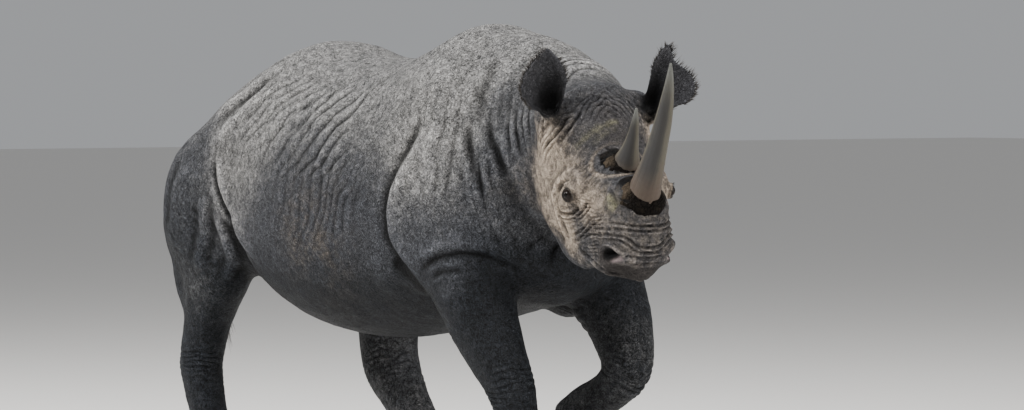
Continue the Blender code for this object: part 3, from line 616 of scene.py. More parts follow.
class Graph:
    """The nodes of one material."""

    def __init__(self, name: str) -> None:
        """Starts a material with a Principled shader."""
        self.material = bpy.data.materials.new(name)
        self.material.use_nodes = True
        self.nodes = self.material.node_tree.nodes
        self.links = self.material.node_tree.links
        self.shader = next(node for node in self.nodes if node.type == "BSDF_PRINCIPLED")

    def add(self, kind: str, settings: dict[str, Any], inputs: dict[Any, Any], output: int | str = 0) -> Value:
        """Adds a node.

        Args:
            kind: the node's type.
            settings: its own settings.
            inputs: a value or a link for each named or numbered socket.
            output: which of its outputs to give back.

        Returns:
            That output.
        """
        node = self.nodes.new(kind)
        for name, setting in settings.items():
            setattr(node, name, setting)
        for name, value in inputs.items():
            self.feed(node.inputs[name], value)
        return Value(self, node.outputs[output])

    def feed(self, socket: bpy.types.NodeSocket, value: Any) -> None:
        """Links or sets one socket."""
        if isinstance(value, Value):
            self.links.new(value.socket, socket)
        elif isinstance(value, tuple) and len(value) == 3 and socket.type == "RGBA":
            socket.default_value = (*value, 1.0)
        else:
            socket.default_value = value

    def coordinates(self, stretch: Spot | None = None) -> Value:
        """Object coordinates, stretched."""
        place = self.add("ShaderNodeTexCoord", {}, {}, "Object")
        return self.add("ShaderNodeMapping", {}, {"Vector": place, "Scale": stretch}) if stretch else place

    def noise(self, place: Value, scale: float, detail: float, rough: float, bend: float = 0.0) -> Value:
        """Noise from 0 to 1."""
        return self.add(
            "ShaderNodeTexNoise",
            {},
            {"Vector": place, "Scale": scale, "Detail": detail, "Roughness": rough, "Distortion": bend},
        )

    def cracks(self, place: Value, scale: float) -> Value:
        """Distance to the edges of cells, from 0 in a crack."""
        return self.add("ShaderNodeTexVoronoi", {"feature": "DISTANCE_TO_EDGE"}, {"Vector": place, "Scale": scale})

    def wrinkles(self, place: Value, scale: float, bend: float = 0.6) -> Value:
        """A net of fine lines: 0 in a line and 1 between them."""
        noise = self.noise(place, scale, 3.0, 0.55, bend)
        return self.add("ShaderNodeMath", {"operation": "ABSOLUTE"}, {0: noise - 0.5}).step(0.0, 0.055)

    def attribute(self, name: str) -> Value:
        """A number kept on the mesh."""
        return self.add("ShaderNodeAttribute", {"attribute_name": name}, {}, "Fac")

    def mix(self, share: Value | float, first: Any, second: Any, blend: str = "MIX") -> Value:
        """One colour into another."""
        return self.add(
            "ShaderNodeMix",
            {"data_type": "RGBA", "blend_type": blend, "clamp_factor": True},
            {0: share, 6: first, 7: second},
            2,
        )

    def bump(self, height: Value, strength: float, distance: float) -> Value:
        """A normal from heights."""
        inputs = {"Strength": strength, "Distance": distance, "Height": height}
        return self.add("ShaderNodeBump", {}, inputs, "Normal")

    def grey(self, level: Value) -> Value:
        """A grey of this level."""
        return self.add("ShaderNodeCombineColor", {}, {0: level, 1: level, 2: level})

    def finish(self, **sockets: Any) -> bpy.types.Material:
        """Feeds the shader.

        Args:
            sockets: values for the shader's sockets, with _ for a space.

        Returns:
            The material.
        """
        for name, value in sockets.items():
            self.feed(self.shader.inputs[name.replace("_", " ")], value)
        return self.material


# ---------------------------------------------------------------- finishes
@dataclass(frozen=True)
class HideFinish:
    """The animal's skin: dusty slate on the back, painted shade below, warm on the face."""

    slate: Colour = (0.048, 0.050, 0.057)
    # Colour of the painted shade on the legs, belly and throat.
    painted_shade_slate: Colour = (0.0112, 0.0130, 0.0165)
    # Dust, and a painted sheen on the lower legs.
    dust_and_sheen: Colour = (0.218, 0.213, 0.207)
    face: Colour = (0.086, 0.071, 0.061)
    pale: Colour = (0.405, 0.336, 0.268)
    brow: Colour = (0.054, 0.048, 0.052)
    lip: Colour = (0.034, 0.030, 0.029)
    cuff: Colour = (0.003, 0.0026, 0.0026)
    fibre: Colour = (0.014, 0.0105, 0.008)
    moss: Colour = (0.165, 0.155, 0.100)
    mud: Colour = (0.105, 0.084, 0.063)
    ear: Colour = (0.066, 0.066, 0.073)
    # Painted shade in the ear bowls and nostrils, and the lids' wet rim.
    inner: Colour = (0.006, 0.006, 0.007)
    wet: Colour = (0.28, 0.225, 0.225)

    def material(self) -> bpy.types.Material:
        """Builds the material."""
        graph = Graph("hide")
        place = graph.coordinates()
        blotch = graph.noise(place, 7.0, 5.0, 0.6)
        mottle = graph.noise(place, 38.0, 6.0, 0.65)
        speck = graph.noise(place, 120.0, 4.0, 0.6)
        cells = graph.cracks(self._bent(graph, place), 120.0)
        streaks = graph.noise(graph.coordinates((70.0, 70.0, 9.0)), 1.0, 4.0, 0.6)
        dust_and_sheen_share, dark, face = graph.attribute("dust_and_sheen"), graph.attribute("dark"), graph.attribute("face")
        wet = graph.attribute("wet")
        # The dark number paints shade on the legs, belly and throat.
        colour = graph.mix((dark + (blotch - 0.5) * 0.5).clamped(), self.slate, self.painted_shade_slate)
        uneven = (mottle - 0.5) * 1.4 + (blotch - 0.5) * 1.0 + (speck - 0.5) * 0.9
        # Dust on the back, with a painted sheen on the lower legs.
        dust_and_sheen_amount = dust_and_sheen_share * 1.15 + uneven * (dust_and_sheen_share * 0.7 + 0.25)
        colour = graph.mix((dust_and_sheen_amount - 0.17).step(-0.12, 1.15), colour, self.dust_and_sheen)
        patches = (mottle - 0.5) * 2.4 + (blotch - 0.5) * 1.2
        warm = graph.mix((patches + face * 0.80 - 0.08).step(0.0, 1.0), self.face, self.pale)
        colour = graph.mix((face + (mottle - 0.5) * 0.5) * face, colour, warm)
        colour = graph.mix(graph.attribute("brow") * (mottle * 0.6 + 0.6), colour, self.brow)
        colour = graph.mix(graph.attribute("lip") * (mottle * 0.4 + 0.72), colour, self.lip)
        colour = graph.mix(graph.attribute("moss") * (mottle * 2.2 - 0.4).clamped(), colour, self.moss)
        colour = graph.mix(graph.attribute("mud") * (mottle * blotch * 4.2 - 0.75).clamped(), colour, self.mud)
        fibre = graph.mix((mottle * 2.4 - 1.0 + (streaks - 0.5) * 0.8).clamped(), self.cuff, self.fibre)
        cuff = graph.attribute("cuff") * 1.5 + (mottle - 0.5) * 0.8 - 0.25
        colour = graph.mix(cuff.step(0.0, 0.7), colour, fibre)
        colour = graph.mix(graph.attribute("ear") * (0.65 + mottle * 0.5), colour, self.ear)
        # Painted shade inside the ear bowls and nostrils, and the dark wet rim of the lids.
        colour = graph.mix(graph.attribute("inner"), colour, self.inner)
        net = graph.wrinkles(place, 24.0) * 0.14 + graph.wrinkles(place, 58.0, 1.0) * 0.34
        net = net + graph.wrinkles(place, 120.0, 1.0) * 0.34 + cells.step(0.0, 0.3) * 0.18
        contrast = 1.35 + dust_and_sheen_share * 0.35 + dark * 1.1 - face * 0.6
        contrast = contrast - graph.attribute("brow") * 0.5 - graph.attribute("ear") * 1.1
        uneven = (streaks - 0.5) * 0.45 + (mottle - 0.5) * (dust_and_sheen_share * 1.4 + dark * 1.2 + 0.3)
        # Painted shade in hollows, creases and the fine wrinkles, and painted highlight on ridges.
        lit = graph.attribute("painted_light").step(0.02, 0.98) * 1.50 + 0.16
        shade = lit * (1.0 + uneven + (net - 0.66) * contrast)
        colour = graph.mix(1.0, colour, graph.grey(shade), "MULTIPLY")
        colour = graph.mix(wet, colour, self.wet)
        height = net * 1.2 + mottle * 0.9 + speck * 0.5 + streaks * 0.5
        return graph.finish(
            Base_Color=colour,
            Roughness=0.86 - wet * 0.55 - dark * 0.26,
            Normal=graph.bump(height, 1.0, 0.009),
            Specular_IOR_Level=0.14,
        )

    def _bent(self, graph: Graph, place: Value) -> Value:
        """Places with a small uneven shift, so that the skin's cells aren't regular."""
        noise = graph.add("ShaderNodeTexNoise", {}, {"Vector": place, "Scale": 60.0, "Detail": 2.0}, "Color")
        shift = graph.add("ShaderNodeVectorMath", {"operation": "SCALE"}, {0: noise, "Scale": 0.010})
        return graph.add("ShaderNodeVectorMath", {"operation": "ADD"}, {0: place, 1: shift})


@dataclass(frozen=True)
class HornFinish:
    """Horn, from a brown root to an olive-grey shaft with a painted shade streak down one side and a painted
    highlight along the pale edge of the other.
    """

    root: Colour = (0.062, 0.046, 0.035)
    shaft: Colour = (0.070, 0.064, 0.048)
    # The edge colour is a painted highlight; the dark colour after it marks the fibre lines and paints a shade
    # streak.
    edge: Colour = (0.200, 0.178, 0.130)
    fibre_and_shade: Colour = (0.020, 0.020, 0.022)
    tip: Colour = (0.105, 0.108, 0.100)

    def material(self) -> bpy.types.Material:
        """Builds the material."""
        graph = Graph("horn")
        rise, front = graph.attribute("rise"), graph.attribute("front")
        fibre = graph.noise(graph.add("ShaderNodeUVMap", {}, {}), 1.0, 5.0, 0.7)
        cloud = graph.noise(graph.coordinates(), 24.0, 5.0, 0.6)
        body = graph.mix((rise + (cloud - 0.5) * 0.25).step(0.14, 0.46), self.root, self.shaft)
        body = graph.mix((rise + (cloud - 0.5) * 0.2).step(0.75, 1.0), body, self.tip)
        # Painted highlight: the side turned away from front is paler.
        body = graph.mix((front * -1.0 + 0.10 + (fibre - 0.5) * 1.1).step(0.1, 0.9), body, self.edge)
        # Painted shade: a dark streak down the side that front faces.
        dark = (front + (fibre - 0.5) * 0.5 + (cloud - 0.5) * 0.35).step(0.40, 0.95)
        body = graph.mix(dark * (1.0 - rise.step(0.72, 1.0)) * rise.step(0.12, 0.36) * 0.85, body, self.fibre_and_shade)
        body = graph.mix((fibre - 0.35).clamped() * 0.6, body, self.fibre_and_shade)
        return graph.finish(
            Base_Color=body,
            Roughness=0.66 - rise * 0.20 + (fibre - 0.5) * 0.3,
            Specular_IOR_Level=0.2,
            Normal=graph.bump(fibre + cloud * 0.5, 0.55, 0.003),
        )


@dataclass(frozen=True)
class FrayFinish:
    """The frayed, cracked horn fibre round a horn's root."""

    dark: Colour = (0.0025, 0.0022, 0.0022)
    brown: Colour = (0.009, 0.0072, 0.006)
    tan: Colour = (0.120, 0.092, 0.064)

    def material(self) -> bpy.types.Material:
        """Builds the material."""
        graph = Graph("frayed_horn")
        place = graph.coordinates()
        rough = graph.noise(place, 55.0, 6.0, 0.7)
        cells = graph.cracks(place, 75.0)
        brown = rough * 1.6 - 0.35 + (cells.step(0.0, 0.2) - 0.5) * 0.3
        colour = graph.mix(brown.clamped(), self.dark, self.brown)
        colour = graph.mix((graph.attribute("pale") * (rough * 1.8 - 0.2)).clamped(), colour, self.tan)
        return graph.finish(
            Base_Color=colour,
            Roughness=0.9 - rough * 0.15,
            Specular_IOR_Level=0.04,
            Normal=graph.bump(rough + cells.step(0.0, 0.25) * 0.8, 0.9, 0.006),
        )


@dataclass(frozen=True)
class NailFinish:
    """Toenails: grey-brown horn with fine upright lines and a worn, dusty lower edge."""

    horn: Colour = (0.072, 0.063, 0.055)
    dark: Colour = (0.028, 0.026, 0.024)
    worn: Colour = (0.15, 0.13, 0.108)

    def material(self) -> bpy.types.Material:
        """Builds the material."""
        graph = Graph("toenail")
        lines = graph.noise(graph.coordinates((150.0, 150.0, 14.0)), 1.0, 4.0, 0.65)
        cloud = graph.noise(graph.coordinates(), 45.0, 4.0, 0.6)
        colour = graph.mix((lines * 1.5 - 0.3).clamped(), self.dark, self.horn)
        colour = graph.mix((graph.attribute("worn") + (cloud - 0.5) * 0.9).step(0.35, 1.1), colour, self.worn)
        relief = graph.bump(lines + cloud * 0.4, 0.5, 0.003)
        return graph.finish(Base_Color=colour, Roughness=0.5 + cloud * 0.3, Normal=relief)


@dataclass(frozen=True)
class EyeFinish:
    """A dark brown eye with a black pupil and a wet surface."""

    iris: Colour = (0.008, 0.008, 0.010)
    ring: Colour = (0.012, 0.008, 0.006)
    white: Colour = (0.030, 0.022, 0.018)
    pupil: Colour = (0.002, 0.002, 0.002)

    def material(self) -> bpy.types.Material:
        """Builds the material."""
        graph = Graph("eye")
        off = graph.attribute("off_axis")
        flecks = graph.noise(graph.coordinates(), 520.0, 3.0, 0.7)
        colour = graph.mix((flecks - 0.2).clamped() * 0.8, self.ring, self.iris)
        colour = graph.mix(off.step(0.24, 0.30), self.pupil, colour)
        colour = graph.mix((off + (flecks - 0.5) * 0.06).step(0.56, 0.64), colour, self.ring)
        colour = graph.mix((off + (flecks - 0.5) * 0.1).step(0.72, 0.84), colour, self.white)
        return graph.finish(
            Base_Color=colour,
            Roughness=0.10 + flecks * 0.05,
            Coat_Weight=0.12,
            Coat_Roughness=0.05,
            Specular_IOR_Level=0.06,
            Normal=graph.bump(flecks, 0.05, 0.0005),
        )


@dataclass(frozen=True)
class HairFinish:
    """Stiff dark hair, a little paler at the tips."""

    root: Colour = (0.012, 0.011, 0.011)
    tip: Colour = (0.055, 0.046, 0.040)

    def material(self) -> bpy.types.Material:
        """Builds the material."""
        graph = Graph("hair")
        fleck = graph.noise(graph.coordinates(), 300.0, 3.0, 0.6)
        colour = graph.mix((graph.attribute("tip") * 0.9 + (fleck - 0.5) * 0.5).clamped(), self.root, self.tip)
        return graph.finish(Base_Color=colour, Roughness=0.5 + fleck * 0.25, Normal=graph.bump(fleck, 0.2, 0.001))


# ---------------------------------------------------------------- mesh tools
def mesh_object(name: str, mesh: bpy.types.Mesh) -> bpy.types.Object:
    """A new object in the scene that shows a mesh."""
    piece = bpy.data.objects.new(name, mesh)
    bpy.context.scene.collection.objects.link(piece)
    return piece


def from_bmesh(name: str, shape: bmesh.types.BMesh) -> bpy.types.Object:
    """A new object from a bmesh, which is freed."""
    mesh = bpy.data.meshes.new(name)
    shape.to_mesh(mesh)
    shape.free()
    return mesh_object(name, mesh)


def put_in_order(shape: bmesh.types.BMesh) -> None:
    """Sorts points, edges and faces by their place, as the steps that made them keep no fixed order."""
    shape.verts.sort(key=lambda point: point.co.dot(SORT_ALONG))
    shape.edges.sort(key=lambda edge: (edge.verts[0].co + edge.verts[1].co).dot(SORT_ALONG))
    shape.faces.sort(key=lambda face: face.calc_center_median().dot(SORT_ALONG))


def settle(piece: bpy.types.Object) -> None:
    """Applies an object's modifiers to its mesh."""
    graph = bpy.context.evaluated_depsgraph_get()
    mesh = bpy.data.meshes.new_from_object(piece.evaluated_get(graph))
    old = piece.data
    piece.modifiers.clear()
    piece.data = mesh
    bpy.data.meshes.remove(old)


def dress(piece: bpy.types.Object, material: bpy.types.Material) -> None:
    """Gives a smooth piece its material."""
    piece.data.shade_smooth()
    piece.data.materials.append(material)


def read_rows(items: Any, name: str, width: int = 3, kind: type = float) -> np.ndarray:
    """A row of numbers from each item of a mesh."""
    flat = np.empty(len(items) * width, dtype=kind)
    items.foreach_get(name, flat)
    return flat.reshape(-1, width)


def read_points(mesh: bpy.types.Mesh) -> np.ndarray:
    """A mesh's points."""
    return read_rows(mesh.vertices, "co")


def read_normals(mesh: bpy.types.Mesh) -> np.ndarray:
    """The directions that a mesh's points face."""
    return read_rows(mesh.vertices, "normal")


def read_corners(mesh: bpy.types.Mesh) -> np.ndarray:
    """The number of the point at each corner of a mesh's faces."""
    return read_rows(mesh.loops, "vertex_index", 1, np.int32)[:, 0]


def write_points(mesh: bpy.types.Mesh, points: np.ndarray) -> None:
    """Moves a mesh's points."""
    mesh.vertices.foreach_set("co", points.ravel())
    mesh.update()


def write_number(mesh: bpy.types.Mesh, name: str, values: np.ndarray) -> None:
    """Keeps one number on each of a mesh's points."""
    layer = mesh.attributes.get(name) or mesh.attributes.new(name, "FLOAT", "POINT")
    layer.data.foreach_set("value", np.ascontiguousarray(values, dtype=np.float32))


def write_map(mesh: bpy.types.Mesh, name: str, spots: np.ndarray) -> None:
    """Keeps a map with one flat place for each of a mesh's points."""
    flat = spots[read_corners(mesh)].ravel().astype(np.float32)
    mesh.uv_layers.new(name=name).data.foreach_set("uv", flat)


@contextmanager
def edited(mesh: bpy.types.Mesh) -> Iterator[bmesh.types.BMesh]:
    """A mesh as a bmesh, which is written back at the end."""
    shape = bmesh.new()
    shape.from_mesh(mesh)
    shape.verts.ensure_lookup_table()
    yield shape
    shape.to_mesh(mesh)
    shape.free()


def read_number(mesh: bpy.types.Mesh, name: str) -> np.ndarray:
    """Reads back the numbers of write_number."""
    return read_rows(mesh.attributes[name].data, "value", 1, np.float32)[:, 0].astype(float)


def relax(
    mesh: bpy.types.Mesh, share: np.ndarray | float, rounds: int, points: np.ndarray | None = None
) -> np.ndarray:
    """Draws each point towards the middle of its neighbours.

    Args:
        mesh: gives the edges.
        share: how far each point goes in a round.
        rounds: how many rounds.
        points: what to draw together instead of the mesh's points.

    Returns:
        The new points.
    """
    one, two = read_rows(mesh.edges, "vertices", 2, np.int32).T
    ends, starts = np.concatenate((one, two)), np.concatenate((two, one))
    points = read_points(mesh) if points is None else points
    count = np.bincount(ends, minlength=len(points)).clip(1)[:, None]
    share = np.broadcast_to(np.asarray(share, float), (len(points),))[:, None]
    for _ in range(rounds):
        middle = np.stack([np.bincount(ends, points[starts, k], len(points)) for k in range(3)], 1)
        points = points + share * (middle / count - points)
    return points


def loft(rings: Sequence[Matrix], sides: int) -> bmesh.types.BMesh:
    """A closed tube through circles of radius one, each placed by a matrix."""
    shape = bmesh.new()
    made = bmesh.ops.create_circle(shape, cap_ends=False, segments=sides, radius=1.0, matrix=rings[0])
    loop = list(dict.fromkeys(edge for point in made["verts"] for edge in point.link_edges))
    first = list(loop)
    for before, after in zip(rings, rings[1:]):
        made = bmesh.ops.extrude_edge_only(shape, edges=loop)
        points = [item for item in made["geom"] if isinstance(item, bmesh.types.BMVert)]
        loop = [item for item in made["geom"] if isinstance(item, bmesh.types.BMEdge)]
        bmesh.ops.transform(shape, matrix=after @ before.inverted(), verts=points)
    bmesh.ops.holes_fill(shape, edges=first + loop, sides=0)
    bmesh.ops.recalc_face_normals(shape, faces=shape.faces)
    put_in_order(shape)
    return shape


def ellipsoid(shape: bmesh.types.BMesh, axes: Axes, at: Spot, radii: Spot, fineness: int = 20) -> None:
    """Adds an ellipsoid to a bmesh."""
    matrix = axes.matrix @ Matrix.Translation(at) @ Matrix.Diagonal((*radii, 1.0))
    bmesh.ops.create_uvsphere(shape, u_segments=fineness, v_segments=fineness // 2, radius=1.0, matrix=matrix)


# ---------------------------------------------------------------- eyes
@dataclass(frozen=True)
class Eye:
    """One eye and its lids, in the head's frame."""

    way: int
    at: Spot = EYE_AT
    radius: float = EYE_RADIUS
    heading: Spot = (0.42, 0.84, 0.26)
    corner: float = 62.0
    upper: float = 42.0
    lower: float = 50.0

    def frame(self) -> tuple[np.ndarray, np.ndarray, np.ndarray, np.ndarray]:
        """The eye's middle, the way it looks, the way to its front corner, and its upward way."""
        flip = mirror(self.way)
        middle, look = np.array(self.at) * flip, np.array(self.heading) * flip
        look /= np.linalg.norm(look)
        front = np.array([0.88, 0.0, -0.22])
        front -= look * (front @ look)
        front /= np.linalg.norm(front)
        up = np.cross(look, front)
        return middle, look, front, up if up[2] > 0 else -up

    def press(self, spots: np.ndarray) -> tuple[np.ndarray, np.ndarray]:
        """Shapes the lids round the eyeball.

        Args:
            spots: the skin's places in the head's frame.

        Returns:
            The new places, and how much each is the wet rim of the lids.
        """
        middle, look, front, up = self.frame()
        offset = spots - middle
        span = np.linalg.norm(offset, axis=1)
        ray = offset / span[:, None].clip(1e-6)
        off = np.degrees(np.arccos(np.clip(ray @ look, -1.0, 1.0)))
        turn = np.arctan2(ray @ up, ray @ front)
        tall = np.where(np.sin(turn) > 0.0, self.upper, self.lower)
        opening = 1.0 / np.sqrt((np.cos(turn) / self.corner) ** 2 + (np.sin(turn) / tall) ** 2)
        past = off - opening
        heavy = 1.0 + 0.35 * ease(np.sin(turn), 0.0, 0.8)
        target = np.interp(
            past,
            [-60.0, -6.0, -1.0, 3.0, 8.0, 15.0, 20.0, 27.0, 34.0],
            [0.0165, 0.0175, 0.0215, 0.0248, 0.0262, 0.0262, 0.0248, 0.0262, 0.0256],
        )
        target = self.radius + (target - EYE_RADIUS) * np.where(past > 0.0, heavy, 1.0)
        near = (span < 0.060) & (off < 95.0)
        weight = np.where(near, ease(past, 48.0, 24.0), 0.0)
        moved = middle + ray * (span + (target - span) * weight)[:, None]
        rim = np.where(near, bell((past - 1.0) / 8.5), 0.0)
        return moved, rim

    def build(self) -> bpy.types.Object:
        """The eyeball, with a slightly raised cornea."""
        middle, look, front, up = self.frame()
        shape = bmesh.new()
        bmesh.ops.create_uvsphere(shape, u_segments=48, v_segments=32, radius=self.radius - 0.0004)
        put_in_order(shape)
        piece = from_bmesh(f"{SIDE_NAMES[self.way]}_eyeball", shape)
        points = read_points(piece.data)
        reach = np.linalg.norm(points, axis=1)
        share = points[:, 2] / reach
        points = points * (1.0 + 0.07 * ease(share, 0.70, 1.0))[:, None]
        write_number(piece.data, "off_axis", np.sqrt(np.clip(1.0 - share**2, 0.0, 1.0)) + (share < 0.0))
        spots = middle + points[:, :1] * front + points[:, 1:2] * up + points[:, 2:] * look
        write_points(piece.data, HEAD.write(spots))
        with edited(piece.data) as faces:
            bmesh.ops.recalc_face_normals(faces, faces=faces.faces)
        dress(piece, EyeFinish().material())
        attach(piece, "root")
        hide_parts(f"{SIDE_NAMES[self.way]}_eye")
        return piece


@dataclass(frozen=True)
class Nostril:
    """One nostril, in the head's frame: a hole with a thick rolled rim."""

    way: int
    at: Spot = (0.560, 0.098, -0.070)
    heading: Spot = (0.86, -0.30, 0.42)
    long: float = 0.036
    short: float = 0.018
    depth: float = 0.026

    def press(self, spots: np.ndarray, normals: np.ndarray) -> tuple[np.ndarray, np.ndarray, np.ndarray]:
        """Sinks the hole and rolls its rim.

        Args:
            spots: the skin's places in the head's frame.
            normals: the ways it faces there.

        Returns:
            Heights, how far inside the hole each place is, and how much it is the moist lower edge.
        """
        flip = mirror(self.way)
        offset = spots - np.array(self.at) * flip
        reach = np.linalg.norm(offset, axis=1)
        along = np.array(self.heading) * flip
        along /= np.linalg.norm(along)
        across = np.cross(normals, along)
        across /= np.linalg.norm(across, axis=1)[:, None].clip(1e-6)
        lift = (offset * across).sum(1) * np.sign(across[:, 2])
        run = offset @ along
        ring = np.sqrt((run / self.long) ** 2 + ((lift + 0.25 * run**2 / self.long) / self.short) ** 2)
        near = reach < 0.085
        sink = -self.depth * ease(ring, 1.12, 0.35)
        rim = 0.010 * bell((ring - 1.55) / 0.42) * (0.75 + 0.35 * ease(lift, -0.01, 0.02))
        inside = np.where(near, ease(ring, 1.15, 0.75), 0.0)
        moist = bell((ring - 1.05) / 0.18) * ease(lift, 0.0, -0.012) * ease(run, -0.006, 0.018)
        return np.where(near, sink + rim, 0.0), inside, np.where(near, moist, 0.0)


# ---------------------------------------------------------------- skin
@dataclass
class Hide:
    """One skin over all the flesh, with its folds, lids and nostrils."""

    voxel: float = 0.0056
    quick_voxel: float = 0.014
    rounds: int = 150
    quick_rounds: int = 60
    overlap: float = 0.0013
    body_triangles: int = 84000
    head_triangles: int = 108000
    quick_share: float = 0.15
    skin: Surface | None = None

    def build(self, frame: dict[str, Any]) -> bpy.types.Object:
        """Makes the skin.

        Args:
            frame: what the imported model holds.

        Returns:
            The finished piece.
        """
        piece = self._fuse(frame, self.voxel)
        mesh = piece.data
        rounds = self.rounds
        write_points(mesh, relax(mesh, self._softness(read_points(mesh)), rounds))
        for chosen in (lambda spots: spots[:, 0] > -0.03, self._fine_face):
            self._refine(mesh, chosen)
            write_points(mesh, relax(mesh, 0.30 * self._head_share(read_points(mesh)), 3))
        self._fold(mesh)
        self._thin(piece)
        self._colour(piece.data)
        dress(piece, HideFinish().material())
        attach(piece, "root")
        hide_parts(*FLESH)
        return piece

    def _fuse(self, frame: dict[str, Any], voxel: float) -> bpy.types.Object:
        """The flesh nodes as one closed mesh, with the sockets filled."""
        shape = bmesh.new()
        nodes = list(FLESH) + [name for name in frame["nodes"] if "toenail" in name]
        for name in nodes:
            part = bmesh.new()
            part.from_mesh(frame["nodes"][name].data)
            bmesh.ops.remove_doubles(part, verts=part.verts, dist=1e-5)
            bmesh.ops.recalc_face_normals(part, faces=part.faces)
            part.normal_update()
            for point in part.verts:
                point.co += point.normal * self.overlap
            mesh = bpy.data.meshes.new(name)
            part.to_mesh(mesh)
            part.free()
            shape.from_mesh(mesh)
            bpy.data.meshes.remove(mesh)
        for at, radii in HORN_SEATS:
            ellipsoid(shape, HEAD, at, radii)
        for way in SIDE_NAMES:
            ellipsoid(shape, HEAD, tuple(mirror(way) * EYE_AT), SOCKET_RADII)
            ellipsoid(shape, HEAD, tuple(mirror(way) * NOSTRIL_FILL_AT), NOSTRIL_FILL_RADII)
        piece = from_bmesh("hide", shape)
        remesh = piece.modifiers.new("skin", "REMESH")
        remesh.mode = "VOXEL"
        remesh.voxel_size = voxel
        settle(piece)
        self._keep_largest(piece.data)
        return piece

    def _keep_largest(self, mesh: bpy.types.Mesh) -> None:
        """Drops every closed shell but the one with the most points."""
        pairs = read_rows(mesh.edges, "vertices", 2, np.int32)
        label = np.arange(len(mesh.vertices))
        while True:
            low = np.minimum(label[pairs[:, 0]], label[pairs[:, 1]])
            fresh = label.copy()
            np.minimum.at(fresh, pairs[:, 0], low)
            np.minimum.at(fresh, pairs[:, 1], low)
            fresh = fresh[fresh]
            if np.array_equal(fresh, label):
                break
            label = fresh
        names, counts = np.unique(label, return_counts=True)
        keep = names[np.argmax(counts)]
        if len(names) > 1:
            with edited(mesh) as shape:
                loose = [shape.verts[int(k)] for k in np.nonzero(label != keep)[0]]
                bmesh.ops.delete(shape, geom=loose, context="VERTS")

    def _head_share(self, points: np.ndarray) -> np.ndarray:
        """1 on the head, 0 on the body."""
        spots = HEAD.read(points)
        return ease(spots[:, 0], -0.10, 0.02) * ease(spots[:, 2], -0.35, -0.28)

    def _softness(self, points: np.ndarray) -> np.ndarray:
        """How much the skin's base is smoothed: most on the trunk, least on the ears and tail."""
        forward, _, up = BODY.read(points).T
        along, beside, above = HEAD.read(points).T
        share = 0.12 + 0.50 * ease(up, 0.62, 0.92) * ease(forward, -1.02, -0.90)
        ear = ease(np.abs(beside), 0.14, 0.19) * ease(above, 0.10, 0.16) * ease(along, 0.16, 0.10)
        tail = ease(forward, -0.93, -1.0)
        for part, softness in ((self._head_share(points), 0.075), (ear, 0.008), (tail, 0.02)):
            share = share * (1.0 - part) + softness * part
        return share

    def _fine_face(self, spots: np.ndarray) -> np.ndarray:
        """Which places on the head are made finest."""
        along, beside, above = spots.T
        near_eye = (np.abs(along - 0.32) < 0.10) & (np.abs(above + 0.02) < 0.10) & (np.abs(beside) > 0.10)
        return (along > 0.40) | near_eye

    def _refine(self, mesh: bpy.types.Mesh, chosen: Callable[[np.ndarray], np.ndarray]) -> None:
        """Halves the faces whose corners are all chosen."""
        mask = chosen(HEAD.read(read_points(mesh)))
        with edited(mesh) as shape:
            edges = [edge for edge in shape.edges if all(mask[point.index] for point in edge.verts)]
            bmesh.ops.subdivide_edges(shape, edges=edges, cuts=1, use_grid_fill=True)

    def _fold(self, mesh: bpy.types.Mesh) -> None:
        """Raises and presses the skin, and keeps what the finish needs."""
        points = read_points(mesh) - read_normals(mesh) * self.overlap
        write_points(mesh, points)
        self.skin = Surface(points)
        muscle = self._heights(mesh, MUSCLES)
        write_points(mesh, points + read_normals(mesh) * muscle[:, None])
        base = read_points(mesh)
        self.skin = Surface(base)
        creases = self._heights(mesh, BODY_FOLDS + FACE_FOLDS)
        creases = creases + self._heights(mesh, BODY_PLEATS + LEG_PLEATS + FACE_PLEATS)
        spots, normals = HEAD.read(base), read_normals(mesh) @ HEAD.turn
        self._press_horn_roots(spots, creases)
        inner, wet = np.zeros(len(points)), np.zeros(len(points))
        for way in SIDE_NAMES:
            height, inside, moist = Nostril(way).press(spots, normals)
            creases += height
            inner = np.maximum(inner, inside)
            wet = np.maximum(wet, moist)
        lumps = 0.0016 * grain(base, 0.055, 11) + 0.0008 * grain(base, 0.022, 12)
        planted = ease(base[:, 2], SOLE, 0.03)
        write_points(mesh, base + read_normals(mesh) * ((creases + lumps) * planted)[:, None])
        for way in SIDE_NAMES:
            spots, rim = Eye(way).press(HEAD.read(read_points(mesh)))
            write_points(mesh, HEAD.write(spots))
            inner = np.maximum(inner, 0.92 * rim)
        # This number is painted light: shade in hollows and creases, highlight on ridges.
        write_number(mesh, "painted_light", self._hollows(mesh, muscle, creases))
        # inner: painted shade inside the nostrils, and the lids' wet rim; the ears add painted shade in their
        # bowls.
        write_number(mesh, "inner", inner)
        write_number(mesh, "wet", wet)

    def _press_horn_roots(self, spots: np.ndarray, creases: np.ndarray) -> None:
        """Adds the ledge of skin round the front horn and the frayed base of the rear one to the creases."""
        along, _, above = spots.T
        edge, reach = self._ledge(spots)
        creases += 0.0050 * ease(edge, -0.003, 0.004) * ease(reach, 0.108, 0.092) * ease(along, 0.38, 0.42)
        creases -= 0.0040 * bell((edge + 0.008) / 0.006) * ease(reach, 0.115, 0.100)
        ruff = ease(self._ruff(spots), 1.2, 0.7) * ease(above, 0.07, 0.09)
        creases += ruff * (0.004 + 0.004 * grain(spots, 0.016, 62) + 0.003 * grain(spots, 0.008, 63))

